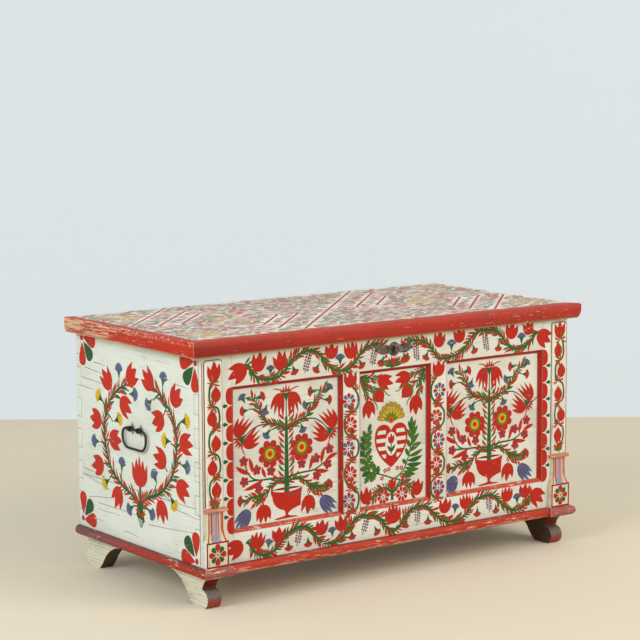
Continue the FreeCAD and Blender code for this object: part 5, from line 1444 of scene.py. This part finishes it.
dabs = dab_tree()
lid_left, lid_right, lid_near, lid_far = -589.0, 612.0, -291.5, 304.0
lid_z = 660
pace, line_clear, bright_reach = 16.5, 13, 46
shares = (("rose", 0.30), ("pale_rose", 0.42), ("sage", 0.74), ("slate", 1.0))
bright_spots = ((-520, 196), (-525, -208), (-310, 0), (310, 0), (525, 201), (520, -208), (0, 0))
spots_by_paint = {key: [] for key in lid_paints}
rows = int((lid_far - lid_near) / pace)
columns = int((lid_right - lid_left) / pace)
for row in range(rows):
    for column in range(columns):
        x = lid_left + pace * (column + 0.5 + random.uniform(-0.35, 0.35))
        y = lid_near + pace * (row + 0.5 + random.uniform(-0.35, 0.35))
        if lozenge_clear(x, y) < line_clear or y < lid_near + 35.5 or y > lid_far - 12:
            continue
        bright = min(math.dist((x, y), spot) for spot in bright_spots) < bright_reach
        draw = random.random()
        key = next(name for name, top in shares if draw < top)
        if bright and draw < 0.7:
            key = "ochre"
        spots_by_paint[key].append((x / 1000, y / 1000, lid_z / 1000 - 0.00002))
sizes = {"rose": (28, 14), "pale_rose": (28, 15), "sage": (28, 13), "slate": (26, 12), "ochre": (27, 15)}
for count, (key, spots) in enumerate(spots_by_paint.items()):
    long, wide = sizes[key]
    mesh = grown(dabs, spots, [], {
        "Dab Length": long / 1000,
        "Dab Width": wide / 1000,
        "Skin": 0.0003 + 0.00003 * count,
        "Seed": 11 + count,
        "Paint": lid_paints[key],
    })
    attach(linked(f"lid_dabs_{key}", mesh), "lid")

# Red lines of the lozenges, and the ragged red band along the lid's front and left edges.
# The dabs keep a little clear of the lines, and a worn tan edge runs along the band.
lines = Sheet()
for cx, half in lozenges:
    corners = [(cx - half, 0), (cx, half), (cx + half, 0), (cx, -half), (cx - half, 0)]
    for start, end in zip(corners, corners[1:]):
        run = [[start[k] + (end[k] - start[k]) * i / 40 for k in (0, 1)] for i in range(41)]
        run = [(x, y + lozenge_y) for x, y in run if abs(x) < line_reach and line_near < y < line_far]
        lines.stem((run[0], run[-1]), 6.8, 0.95, leaves=False, paint="red", lift=1)
band = [(617, -306.5), (-617, -306.5), (-617, 300), (-603, 300)]
for i in range(34):
    band.append((-602 + random.uniform(-4, 4), 290 - 16.6 * i))
ragged = [(-598 + 15.1 * i, -270 + random.uniform(-6, 5)) for i in range(80)]
lines.mark("red", band + ragged)
lines.stem(ragged, 11.0, 0.9, leaves=False, paint="tan", lift=1)
lay("painted_lid_lines", lines, (0, 0, lid_z), ((1, 0, 0), (0, 1, 0), (0, 0, 1)), "x", body="lid")

# Wrought iron: hinge straps, nails, the lock and the two bail handles are hammered and black
# with age, and the escutcheon is grey-brown sheet iron, pitted with rust.


def wrought_iron(name, code, rust, scale=1.0, pitted=0.78, hole=None):
    """Hammered iron, oiled and dull, with brown rust in its pits and, if told where, painted shade
    round a keyhole: a black darkening that stands in for the shade in its slot."""
    material, tree = empty_tree(bpy.data.materials, name)
    coords = node(tree, "ShaderNodeTexCoord").outputs["Object"]
    dents = noise(tree, coords, 160.0 * scale, 3.0, 0.5)
    pits = noise(tree, coords, 620.0 * scale, 5.0, 0.7)
    stain = fade(tree, plus(tree, pits, times(tree, dents, 0.6)), pitted, pitted + 0.22)
    shade = blended(tree, stain, linear(code), linear(rust))
    if hole:
        away = node(tree, "ShaderNodeVectorMath", {0: coords, 1: hole}, operation="DISTANCE").outputs["Value"]
        # Painted shade: the iron goes black within about a centimetre of the keyhole.
        shade = blended(tree, fade(tree, away, 0.005, 0.013, 0.6, 0.0), shade, linear("#1c1713"))
    height = plus(tree, times(tree, dents, 1.0), times(tree, pits, 0.4))
    rough = fade(tree, stain, 0.0, 1.0, 0.46, 0.85)
    surface(tree, shade, rough, height, 0.55, 0.0007, {"Metallic": 0.75})
    return material


black_iron = wrought_iron("hammered_black_iron", "#3a3531", "#4d3524")
grey_iron = wrought_iron("rusted_grey_sheet_iron", "#857970", "#3b2e27", 0.5, 0.7, (-0.006, -0.294, 0.587))
daubed_iron = wrought_iron("iron_daubed_with_white_paint", "#a5a298", "#4e4a44", 0.6)
assign(
    black_iron, "lid_strap_left", "lid_strap_right", "case_strap_left", "case_strap_right", "hinge_pin_left",
    "hinge_pin_right", "case_nails", "lid_nails", "bail_left", "bail_right", "bail_eyes_left",
    "bail_eyes_right", "lock_plate", "lock_bridges", "lock_spring", "lock_bolt", "lid_hasp",
    "escutcheon_tacks",
)
assign(grey_iron, "escutcheon")
assign(daubed_iron, "bail_roses")
